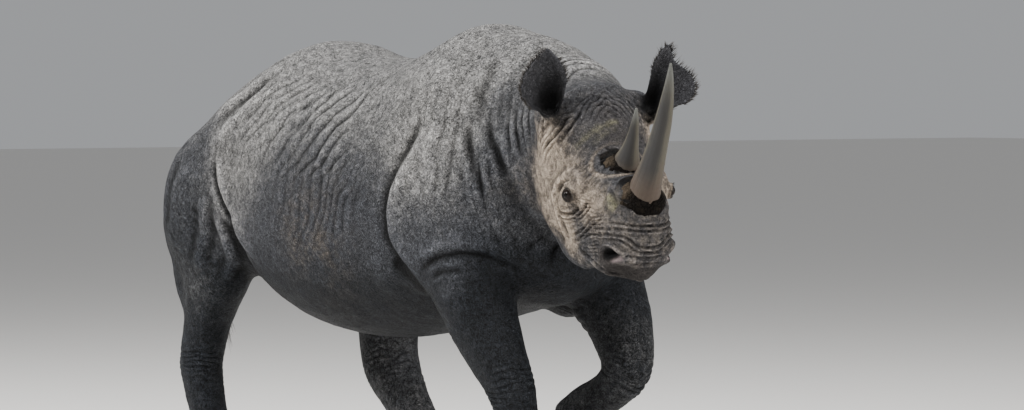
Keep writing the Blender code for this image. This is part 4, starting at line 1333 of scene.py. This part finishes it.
    def _hollows(self, mesh: bpy.types.Mesh, muscle: np.ndarray, creases: np.ndarray) -> np.ndarray:
        """How open to the light each place is.

        Args:
            mesh: the folded skin.
            muscle: how far the muscles raised it.
            creases: how far the folds raised it.

        Returns:
            0.5 on even skin, less in a hollow and more on a ridge.
        """
        moved, ways = read_points(mesh), read_normals(mesh)
        near = relax(mesh, 0.6, 12)
        wide = ((relax(mesh, 0.8, 40, near) - moved) * ways).sum(1)
        broad = ((near - moved) * ways).sum(1)
        painted_light = np.clip(creases * 24.0, -0.22, 0.14) - np.clip(broad * 90.0, -0.22, 0.24)
        painted_light = painted_light - np.clip(wide * 22.0, -0.16, 0.16)
        mirrored = BODY.read(moved) * mirror(-1)
        mirrored[:, 1] = -np.abs(mirrored[:, 1])
        shade = sum(mark.amount(mirrored) for mark in SHADES)
        return 0.5 + painted_light + np.clip(muscle * 9.0, -0.22, 0.05) - 0.34 * shade

    def _ledge(self, spots: np.ndarray) -> tuple[np.ndarray, np.ndarray]:
        """How far each place is above the edge of the skin round the front horn, and from its middle."""
        along, beside, above = spots.T
        edge = above - FRONT_LEDGE_UP - FRONT_LEDGE_RISE * ease(along, 0.48, 0.56)
        return edge, np.sqrt((along - FRONT_LEDGE_AT) ** 2 + beside**2)

    def _ruff(self, spots: np.ndarray) -> np.ndarray:
        """How far each place is from the middle of the frayed base of the rear horn, from 0 to 1."""
        return np.sqrt((((spots - REAR_RUFF_AT) / REAR_RUFF_SIZE) ** 2).sum(1))

    def _heights(self, mesh: bpy.types.Mesh, features: Iterable[Any]) -> np.ndarray:
        """The sum of some features over a mesh."""
        points, normals = read_points(mesh), read_normals(mesh)
        spots = {space: axes.read(points) for space, axes in AXES.items()}
        ways = {space: normals @ axes.turn for space, axes in AXES.items()}
        head = self._head_share(points)
        total = np.zeros(len(points))
        for feature in features:
            share = head if feature.space is Space.HEAD else 1.0 - 0.85 * head
            total += feature.heights(spots[feature.space], ways[feature.space], self.skin) * share
        return total

    def _thin(self, piece: bpy.types.Object) -> None:
        """Thins the body and then the head, each to its own number of triangles."""
        scale = 1.0
        for name, target in (("body", self.body_triangles * scale), ("head", self.head_triangles * scale)):
            mesh = piece.data
            head = self._head_share(read_points(mesh)) > 0.5
            chosen = ~head if name == "body" else head
            triangles = read_rows(mesh.polygons, "loop_total", 1, np.int32)[:, 0] - 2
            start = read_rows(mesh.polygons, "loop_start", 1, np.int32)[:, 0]
            mine = triangles[chosen[read_corners(mesh)[start]]].sum()
            if mine <= target:
                continue
            group = piece.vertex_groups.new(name=name)
            group.add([int(k) for k in np.nonzero(chosen)[0]], 1.0, "REPLACE")
            thin = piece.modifiers.new(name, "DECIMATE")
            thin.vertex_group = name
            thin.ratio = float(triangles.sum() - mine + target) / float(triangles.sum())
            settle(piece)
            piece.vertex_groups.clear()

    def _colour(self, mesh: bpy.types.Mesh) -> None:
        """Keeps where the skin is dusty, warm, mossy or muddy, and where painted shade, painted sheen and painted
        light go.
        """
        points, normals = read_points(mesh), read_normals(mesh)
        head = self._head_share(points)
        self._colour_body(mesh, BODY.read(points), normals[:, 2], head)
        self._colour_head(mesh, HEAD.read(points), head)
        self._colour_ears(mesh, HEAD.read(points), (normals @ HEAD.turn)[:, 0])

    def _colour_body(
        self, mesh: bpy.types.Mesh, spots: np.ndarray, facing_up: np.ndarray, head: np.ndarray
    ) -> None:
        """Dust from the back down, painted shade on the legs, belly and throat with a painted sheen on the lower
        legs, and a mud splash on the flank.
        """
        forward, left, up = spots.T
        far_side = ease(left, 0.02, 0.12)
        top = ease(up + 0.27 * ease(forward, 0.0, -0.35) + 0.14 * ease(forward, 0.40, 0.58), 0.90, 1.44)
        shoulder = bell((forward - 0.56) / 0.12, (up - 1.12) / 0.20)
        dust_and_sheen = np.clip(0.06 + 0.80 * top + 0.2 * ease(facing_up, 0.1, 0.9) * top + 0.24 * shoulder, 0, 1)
        dust_and_sheen = dust_and_sheen * (1.0 - 0.55 * ease(forward, 0.76, 0.88) * ease(up, 1.48, 1.30))
        dust_and_sheen = dust_and_sheen * (1.0 - 0.74 * ease(forward, -0.42, -0.64) * ease(up, 1.44, 1.10))
        # Painted light: a lighter thigh with less painted shade.
        thigh = bell((forward + 0.68) / 0.12, (up - 0.66) / 0.12)
        dust_and_sheen = dust_and_sheen + 0.36 * thigh
        # Painted shade: the throat, the belly where it faces down, and the legs are darker; so is the haunch.
        throat = ease(up, 1.25, 0.95) * ease(forward, 0.78, 0.92) * (1.0 - head)
        haunch = ease(forward, -0.40, -0.62) * ease(up, 1.22, 0.80) * 0.8
        belly = ease(up, 0.95, 0.60) * ease(facing_up, 0.35, -0.5)
        arms = 0.3 * ease(up, 0.845, 0.80) * ease(forward, 0.58, 0.66) * ease(np.abs(left), 0.08, 0.14)
        # Painted light: the far legs get less painted shade.
        legs = np.maximum(ease(up, 0.86, 0.46), arms) * (1.0 - 0.45 * far_side)
        dark = np.clip(legs + 0.8 * belly + 0.75 * throat + haunch - 0.60 * thigh, 0.0, 1.0)
        dust_and_sheen = dust_and_sheen * (1.0 - 0.9 * legs) * (1.0 - head) * (1.0 - 0.9 * throat) + 0.25 * head
        # Painted sheen: extra dust colour on the lower legs, more on the far side.
        write_number(mesh, "dust_and_sheen", dust_and_sheen + ease(up, 0.8, 0.5) * (0.07 + 0.17 * far_side))
        write_number(mesh, "dark", dark * (1.0 - head))
        write_number(mesh, "mud", 0.8 * bell((forward - 0.14) / 0.15, (up - 0.87) / 0.15))

    def _colour_head(self, mesh: bpy.types.Mesh, spots: np.ndarray, head: np.ndarray) -> None:
        """The warm face, the dark lip and forehead, moss, and black horn fibre round the horns."""
        along, beside, above = spots.T
        far = np.abs(beside)
        cheek = bell((along - 0.19) / 0.13, (above + 0.07) / 0.16) * ease(far, 0.06, 0.12) * 1.15
        lid = bell((along - 0.31) / 0.09, (above - 0.05) / 0.035) * ease(far, 0.08, 0.13) * 0.3
        muzzle = ease(along, 0.36, 0.50) * 0.30
        temple = bell((along - 0.10) / 0.06, (above - 0.03) / 0.10) * 0.6
        side = bell((along - 0.40) / 0.07, (above - 0.01) / 0.08) * ease(far, 0.05, 0.10) * 0.65
        jaw = bell((above + 0.10 + 0.75 * (along - 0.25)) / 0.05)
        jaw = jaw * ease(along, 0.45, 0.30) * ease(along, 0.10, 0.2)
        ears = ease(far, 0.14, 0.18) * ease(above, 0.12, 0.17)
        under = ease(above, -0.20, -0.26)
        rim = bell((self._ruff(spots) - 1.22) / 0.10) * ease(above, 0.06, 0.08)
        face = 0.22 + cheek + lid + muzzle + temple + side + 0.9 * jaw + 0.7 * rim - 0.7 * under
        write_number(mesh, "face", np.clip(face, 0.0, 1.0) * head * (1.0 - ears))
        lip = ease(above + 0.25 * (along - 0.5), -0.030, -0.082) * ease(along, 0.46, 0.57) * 1.4
        write_number(mesh, "lip", np.clip(lip, 0.0, 1.0) * head)
        edge, reach = self._ledge(spots)
        cuff = ease(edge, -0.003, 0.005) * ease(reach, 0.104, 0.088) * ease(along, 0.400, 0.425)
        cuff *= 1.0 - 0.62 * ease(far, 0.030, 0.070) * ease(along, 0.545, 0.485)
        ruff = ease(self._ruff(spots) + 0.35 * grain(spots, 0.02, 61), 1.25, 0.75) * ease(above, 0.075, 0.09)
        write_number(mesh, "cuff", np.maximum(cuff, 0.75 * ruff) * head)
        forehead = bell((along - 0.22) / 0.11, far / 0.10) * ease(above, 0.06, 0.12)
        write_number(mesh, "brow", forehead * head)
        moss = 0.12 * forehead + sum(mark.amount(spots) for mark in STAINS)
        write_number(mesh, "moss", np.clip(moss, 0.0, 1.0) * head)

    def _colour_ears(self, mesh: bpy.types.Mesh, spots: np.ndarray, facing_forward: np.ndarray) -> None:
        """The grey ears, with painted shade in their bowls."""
        along, beside, above = spots.T
        far = np.abs(beside)
        ear = ease(far, 0.125, 0.15) * ease(above, 0.115, 0.15) * ease(along, 0.19, 0.15)
        bowl_shade = ear * ease(facing_forward, -0.05, 0.35) * ease(above, 0.30, 0.18) * ease(far, 0.245, 0.185)
        write_number(mesh, "ear", ear)
        write_number(mesh, "inner", np.clip(np.maximum(read_number(mesh, "inner"), bowl_shade), 0.0, 1.0))


# ---------------------------------------------------------------- horns
@dataclass
class Horn:
    """A horn and the frayed collar round its root, in the head's frame."""

    node: str
    rows: tuple[tuple[float, float, float, float], ...]
    collar: tuple[Spot, Spot]
    seed: int
    sides: int = 72

    def build(self) -> list[bpy.types.Object]:
        """The horn and its collar."""
        line = curve([(along, above, 0.0) for along, above, _, _ in self.rows], 12)
        sizes = curve([(across, fore, 0.0) for _, _, across, fore in self.rows], 12)
        rings = []
        for k, (spot, size) in enumerate(zip(line, sizes)):
            low, high = line[max(k - 1, 0)], line[min(k + 1, len(line) - 1)]
            tilt = math.atan2(high[0] - low[0], high[1] - low[1])
            across, fore = max(size[0], 0.0015), max(size[1], 0.0015)
            matrix = Matrix.Translation((spot[0], 0.0, spot[1])) @ Matrix.Rotation(tilt, 4, "Y")
            rings.append(HEAD.matrix @ matrix @ Matrix.Diagonal((fore, across, 1.0, 1.0)))
        piece = from_bmesh(self.node + "_shaft", loft(rings, self.sides))
        self._shape(piece, line)
        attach(piece, "root")
        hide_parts(self.node)
        return [piece, self._collar()]

    def _shape(self, piece: bpy.types.Object, line: np.ndarray) -> None:
        """Rings, fibres and wear, and what the finish needs."""
        mesh = piece.data
        spots = HEAD.read(read_points(mesh))
        low, high = self.rows[0][1], self.rows[-1][1]
        rise = np.clip((spots[:, 2] - low) / (high - low), 0.0, 1.0)
        middle = np.interp(spots[:, 2], line[:, 1], line[:, 0])
        turn = np.arctan2(spots[:, 1], spots[:, 0] - middle)
        rings = np.sin(spots[:, 2] * 330.0 + 2.0 * grain(spots, 0.04, self.seed)) * 0.0010 * ease(rise, 0.42, 0.12)
        upright = np.stack((turn * 6.0, spots[:, 2] * 3.0, rise * 0.0), 1)
        fibres = grain(upright, 1.0, self.seed) * 0.0011 * (1.0 - rise)
        write_points(mesh, read_points(mesh) + read_normals(mesh) * (rings + fibres)[:, None])
        write_number(mesh, "rise", rise)
        # front gives the side the shaft faces, for the painted shade streak and painted highlight of the finish.
        write_number(mesh, "front", np.cos(turn + 0.80))
        write_map(mesh, "fibre", np.stack((np.abs(turn) * 9.0 + 3.0 * (turn > 0), spots[:, 2] * 7.0), 1))
        dress(piece, HornFinish().material())

    def _collar(self) -> bpy.types.Object:
        """The rough cuff of horn fibre at the root."""
        at, radii = self.collar
        shape = bmesh.new()
        ellipsoid(shape, HEAD, at, radii, 88)
        put_in_order(shape)
        piece = from_bmesh(self.node + "_collar", shape)
        mesh = piece.data
        spots = HEAD.read(read_points(mesh))
        offset = (spots - at) / radii
        turn = np.arctan2(offset[:, 1], offset[:, 0])
        shreds = grain(np.stack((turn * 5.0, offset[:, 2] * 0.9, offset[:, 2] * 0.0), 1), 1.0, self.seed + 5)
        rough = 0.0022 * grain(spots, 0.012, self.seed + 1) + 0.0012 * grain(spots, 0.005, self.seed + 2)
        rough = rough + 0.0022 * shreds
        write_points(mesh, read_points(mesh) + read_normals(mesh) * rough[:, None])
        side = 0.6 * ease(np.abs(offset[:, 1]), 0.25, 0.85) * ease(offset[:, 0], 0.55, -0.15)
        worn = 0.12 * ease(grain(spots, 0.03, self.seed + 3), 0.2, 0.8)
        write_number(mesh, "pale", np.clip(worn + side, 0.0, 1.0))
        dress(piece, FrayFinish().material())
        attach(piece, "root")
        return piece


# ---------------------------------------------------------------- toenails
@dataclass
class Toenails:
    """The three nails of one foot, over the solids' own nails."""

    leg: str

    def build(self, frame: dict[str, Any]) -> list[bpy.types.Object]:
        """Builds the nails.

        Args:
            frame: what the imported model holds.

        Returns:
            The pieces.
        """
        pieces = []
        leg = read_points(frame["nodes"][self.leg].data)
        names = [f"{self.leg}_toenail_{which}" for which in ("inner", "middle", "outer")]
        cores = [read_points(frame["nodes"][name].data).mean(0) for name in names]
        near = np.min([np.linalg.norm(leg - core, axis=1) for core in cores], axis=0) < 0.16
        foot = leg[near].mean(0)
        for name, core in zip(names, cores):
            pieces.append(self._nail(frame["nodes"][name], name, core, foot))
        return pieces

    def _nail(self, node: bpy.types.Object, name: str, core: np.ndarray, foot: np.ndarray) -> bpy.types.Object:
        """One nail, rounder and a little prouder than its solid."""
        shape = bmesh.new()
        shape.from_mesh(node.data)
        bmesh.ops.remove_doubles(shape, verts=shape.verts, dist=1e-5)
        bmesh.ops.recalc_face_normals(shape, faces=shape.faces)
        piece = from_bmesh(name + "_plate", shape)
        smooth = piece.modifiers.new("round", "SUBSURF")
        smooth.levels = smooth.render_levels = 3
        settle(piece)
        mesh = piece.data
        points = core + (read_points(mesh) - core) * 1.17
        out = core - foot
        out /= np.linalg.norm(out)
        height = points[:, 2]
        low, high = height.min(), height.max()
        share = (height - low) / (high - low)
        proud = (points - core) @ out
        plate = 0.0025 * ease(share, 0.15, 0.35) * ease(share, 0.98, 0.75)
        plate = plate + 0.0015 * np.sin(share * 26.0) * ease(proud, 0.0, 0.01)
        points = points + out * (plate * ease(proud, -0.005, 0.01))[:, None]
        points[:, 2] = np.maximum(points[:, 2], 0.0015)
        write_points(mesh, points)
        write_number(mesh, "worn", ease(share, 0.45, 0.05))
        dress(piece, NailFinish().material())
        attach(piece, "root")
        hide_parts(name)
        return piece


# ---------------------------------------------------------------- hair
@dataclass(frozen=True)
class Hair:
    """One stiff hair or small lock: where it grows and where it points."""

    root: Vector
    heading: Vector
    bend: Vector
    length: float
    thick: float

    def spot(self) -> tuple[float, float]:
        """The root's place on the skin when that is rolled flat round the body's long axis."""
        forward, left, up = BODY.read(np.array([self.root]))[0]
        start, length = BODY_REACH
        return 0.5 + math.atan2(left, up - LONG_AXIS_UP) / math.tau, (forward - start) / length


class Tufts:
    """Many hairs as one mesh, each a thin closed blade."""

    PATCH = 0.003

    def __init__(self, name: str) -> None:
        """Starts with no hair."""
        self.name = name
        self.hairs: list[Hair] = []

    def grow(self, root: Vector, heading: Vector, bend: Vector, length: float, thick: float) -> None:
        """Adds a hair, with the values of Hair."""
        self.hairs.append(Hair(root, heading, bend, length, thick))

    def build(self) -> bpy.types.Object:
        """Builds the mesh with its OFBake map."""
        blade = bmesh.new()
        stand = Matrix.Translation((0, 0, 0.5))
        bmesh.ops.create_cone(blade, cap_ends=True, segments=3, radius1=1.0, radius2=0.1, depth=1.0, matrix=stand)
        long = [edge for edge in blade.edges if abs(edge.verts[0].co.z - edge.verts[1].co.z) > 0.5]
        bmesh.ops.subdivide_edges(blade, edges=long, cuts=2)
        pattern = bpy.data.meshes.new("blade")
        blade.to_mesh(pattern)
        blade.free()
        local = read_points(pattern)
        shape = bmesh.new()
        for _ in self.hairs:
            shape.from_mesh(pattern)
        piece = from_bmesh(self.name, shape)
        bpy.data.meshes.remove(pattern)
        mesh = piece.data
        write_points(mesh, np.vstack([self._blade(local, hair) for hair in self.hairs]))
        share = np.tile(local[:, 2], len(self.hairs))
        write_number(mesh, "tip", share)
        patch = np.repeat([hair.spot() for hair in self.hairs], len(local), axis=0)
        patch = patch + np.stack((self.PATCH * share, 0.5 * self.PATCH * share), 1)
        write_map(mesh, "OFBake", patch)
        dress(piece, HairFinish().material())
        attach(piece, "root")
        return piece

    def _blade(self, local: np.ndarray, hair: Hair) -> np.ndarray:
        """The points of one hair, a thin cone that is bent along its length."""
        side = hair.heading.orthogonal().normalized()
        other = hair.heading.cross(side)
        rise = local[:, 2:] * hair.length
        flat = hair.thick * (local[:, :1] * np.array(side) + local[:, 1:2] * np.array(other))
        stem = np.array(hair.root) + flat + rise * np.array(hair.heading)
        return stem + rise * local[:, 2:] * np.array(hair.bend)


@dataclass
class EarFringe:
    """The dark bristles on the rim of one ear."""

    way: int
    root: Spot
    tip: Spot
    opening: Spot
    count: int = 210

    def rim(self, node: bpy.types.Object, outer: bool) -> np.ndarray:
        """The edge of the ear's solid, from its base to its tip.

        Args:
            node: the solid.
            outer: whether it is the edge away from the crown.

        Returns:
            Rows of (share of the ear's length, place), in the head's frame.
        """
        spots = HEAD.read(read_points(node.data))
        axis = np.array(self.tip) - np.array(self.root)
        length = np.linalg.norm(axis)
        axis /= length
        across = np.cross(axis, self.opening)
        across /= np.linalg.norm(across)
        across *= np.sign(across[1]) * self.way * (1.0 if outer else -1.0)
        share = (spots - self.root) @ axis / length
        reach = (spots - self.root) @ across
        rows = []
        for low in np.arange(0.12, 1.0, 0.07):
            band = (share >= low) & (share < low + 0.09)
            if band.any():
                best = np.argmax(np.where(band, reach, -1.0))
                rows.append((share[best], *spots[best]))
        return np.array(sorted(rows))

    def build(self, frame: dict[str, Any], hide: bpy.types.Object) -> bpy.types.Object:
        """Builds the fringe on the skin's ear."""
        side = SIDE_NAMES[self.way]
        tufts = Tufts(side + "_ear_fringe")
        chance = np.random.default_rng(40 + self.way)
        node = frame["nodes"][side + "_ear"]
        for outer, share_low, count in ((True, 0.25, self.count), (False, 0.55, self.count // 3)):
            rows = self.rim(node, outer)
            across = np.array([0.15, float(self.way) * (1.0 if outer else -1.0), 0.15])
            for k in range(count):
                share = share_low + (1.0 - share_low) * (k + chance.random()) / count
                spot = np.array([np.interp(share, rows[:, 0], rows[:, j]) for j in (1, 2, 3)])
                _, root, _, _ = hide.closest_point_on_mesh(HEAD.place(spot + chance.normal(0.0, 0.004, 3)))
                heading = across * (1.0 - 0.55 * share) + np.array([0.1, 0.0, 0.35 + 0.6 * share])
                heading += chance.normal(0.0, 0.22, 3)
                long = (0.010 + 0.014 * share) * (0.6 + 0.7 * chance.random()) * (1.0 if outer else 0.7)
                bend = Vector((0, 0, 1)) * float(chance.normal(0.0, 0.12))
                tufts.grow(root, HEAD.direction(heading), bend, long, BRISTLE)
        return tufts.build()


@dataclass
class TailBrush:
    """The stiff hair on both edges of the tail's end."""

    count: int = 420

    def build(self, frame: dict[str, Any]) -> bpy.types.Object:
        """Builds the brush."""
        tufts = Tufts("tail_brush")
        chance = np.random.default_rng(77)
        spots = BODY.read(read_points(frame["nodes"]["tail"].data))
        for k in range(self.count):
            drop = (k + chance.random()) / self.count
            height = 0.74 - 0.21 * drop
            band = np.abs(spots[:, 2] - height) < 0.07
            middle = spots[band].mean(0) if band.any() else spots[np.argmin(spots[:, 2])]
            way = 1.0 if k % 2 else -1.0
            angle = chance.normal(0.0, 0.45)
            out = np.array([math.sin(angle), way * math.cos(angle), 0.0])
            root = np.array([middle[0], middle[1], height]) + out * (0.016 + 0.006 * drop)
            heading = out * (0.55 - 0.25 * drop) + np.array([-0.10, 0.0, -0.85]) + chance.normal(0.0, 0.10, 3)
            long = (0.045 + 0.045 * drop) * (0.6 + 0.6 * chance.random())
            tufts.grow(BODY.place(root), BODY.direction(heading), Vector((0, 0, -1)) * 0.25, long, BRISTLE)
        return tufts.build()


@dataclass
class Lashes:
    """The short lashes of one eye's upper lid."""

    way: int
    count: int = 46

    def build(self) -> bpy.types.Object:
        """Builds the lashes."""
        eye = Eye(self.way)
        middle, look, front, up = eye.frame()
        tufts = Tufts(SIDE_NAMES[self.way] + "_lashes")
        chance = np.random.default_rng(90 + self.way)
        for k in range(self.count):
            turn = math.radians(20.0 + 140.0 * (k + chance.random()) / self.count)
            off = math.radians(eye.upper + 6.0 + 10.0 * abs(math.cos(turn)))
            out = front * math.cos(turn) + up * math.sin(turn)
            root = HEAD.place(middle + (look * math.cos(off) + out * math.sin(off)) * 0.0262)
            heading = HEAD.direction(look * 0.75 + out * 0.55 + chance.normal(0, 0.12, 3))
            long = 0.010 * (0.7 + 0.6 * chance.random())
            tufts.grow(root, heading, HEAD.direction((0, 0, -1)) * 0.25, long, LASH)
        return tufts.build()


# ---------------------------------------------------------------- surroundings
@dataclass(frozen=True)
class Studio:
    """A pale floor, soft light and the camera."""

    azimuth: float = 37.0
    distance: float = 16.0
    height: float = 1.40
    lens: float = 169.45
    pan: float = 1.426
    tilt: float = -1.604

    def build(self) -> None:
        """Builds the surroundings."""
        self._floor()
        self._camera()
        self._light("key", (-6.5, 0.5, 6.0), 2.5, 1000.0, (1.0, 0.985, 0.96))
        self._light("top", (0.5, 0.5, 7.5), 5.0, 520.0, (0.97, 0.985, 1.0))
        self._light("fill", (4.5, -10.0, 3.0), 6.0, 1150.0, (1.0, 0.97, 0.93))
        self._light("back", (-5.5, 7.0, 4.5), 4.5, 300.0, (1.0, 0.99, 0.97))
        world = bpy.data.worlds.new("studio")
        world.use_nodes = True
        world.node_tree.nodes["Background"].inputs["Color"].default_value = (0.90, 0.92, 0.95, 1.0)
        world.node_tree.nodes["Background"].inputs["Strength"].default_value = 0.40
        bpy.context.scene.world = world

    def _floor(self) -> None:
        """A large plain floor."""
        shape = bmesh.new()
        bmesh.ops.create_grid(shape, x_segments=2, y_segments=2, size=60.0)
        floor = from_bmesh("floor", shape)
        graph = Graph("floor")
        floor.data.materials.append(graph.finish(Base_Color=(0.78, 0.76, 0.73), Roughness=0.9))

    def _camera(self) -> None:
        """The camera, level with the horizon behind the animal and turned a little."""
        turn = math.radians(self.azimuth)
        data = bpy.data.cameras.new("camera")
        data.lens, data.sensor_width = self.lens, 36.0
        data.clip_end = 200.0
        camera = bpy.data.objects.new("camera", data)
        camera.location = (-self.distance * math.sin(turn), STAND_Y - self.distance * math.cos(turn), self.height)
        camera.rotation_euler = (math.radians(90.0 + self.tilt), 0.0, -turn - math.radians(self.pan))
        bpy.context.scene.collection.objects.link(camera)
        bpy.context.scene.camera = camera

    def _light(self, name: str, place: Spot, size: float, power: float, colour: Colour) -> None:
        """A large soft light that faces the animal."""
        data = bpy.data.lights.new(name, "AREA")
        data.shape, data.size, data.energy, data.color = "DISK", size, power, colour
        light = bpy.data.objects.new(name, data)
        light.location = place
        light.rotation_euler = (Vector((0.0, 0.0, 0.9)) - Vector(place)).to_track_quat("-Z", "Y").to_euler()
        bpy.context.scene.collection.objects.link(light)


FRONT_HORN = Horn(
    "front_horn",
    (
        (0.497, 0.060, 0.050, 0.060),
        (0.503, 0.130, 0.046, 0.054),
        (0.512, 0.200, 0.038, 0.043),
        (0.519, 0.290, 0.031, 0.034),
        (0.522, 0.380, 0.026, 0.028),
        (0.514, 0.470, 0.018, 0.019),
        (0.500, 0.530, 0.010, 0.010),
        (0.488, 0.565, 0.0035, 0.0035),
    ),
    ((0.495, 0.0, 0.078), (0.073, 0.074, 0.060)),
    21,
)
REAR_HORN = Horn(
    "rear_horn",
    (
        (0.337, 0.065, 0.050, 0.055),
        (0.342, 0.120, 0.040, 0.043),
        (0.345, 0.170, 0.026, 0.028),
        (0.344, 0.220, 0.017, 0.018),
        (0.337, 0.270, 0.010, 0.010),
        (0.328, 0.303, 0.004, 0.004),
    ),
    ((0.332, -0.006, 0.088), (0.066, 0.066, 0.042)),
    31,
)
EARS = (
    EarFringe(-1, (0.062, -0.150, 0.115), (0.035, -0.197, 0.341), (0.97, -0.22, 0.10)),
    EarFringe(1, (0.062, 0.180, 0.105), (0.035, 0.212, 0.345), (0.88, -0.42, 0.10)),
)


def main() -> None:
    """Builds the animal and its surroundings, and reports each piece."""
    logging.basicConfig(level=logging.INFO, format="%(message)s")
    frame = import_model()
    Studio().build()
    pieces = [Hide().build(frame)]
    for way in SIDE_NAMES:
        pieces += [Eye(way).build(), Lashes(way).build()]
    for horn in (FRONT_HORN, REAR_HORN):
        pieces += horn.build()
    for leg in LEGS:
        pieces += Toenails(leg).build(frame)
    pieces += [fringe.build(frame, pieces[0]) for fringe in EARS]
    pieces.append(TailBrush().build(frame))
    for piece in pieces:
        piece.data.calc_loop_triangles()
        LOG.info("%s: %d triangles", piece.name, len(piece.data.loop_triangles))


if __name__ == "__main__":
    main()
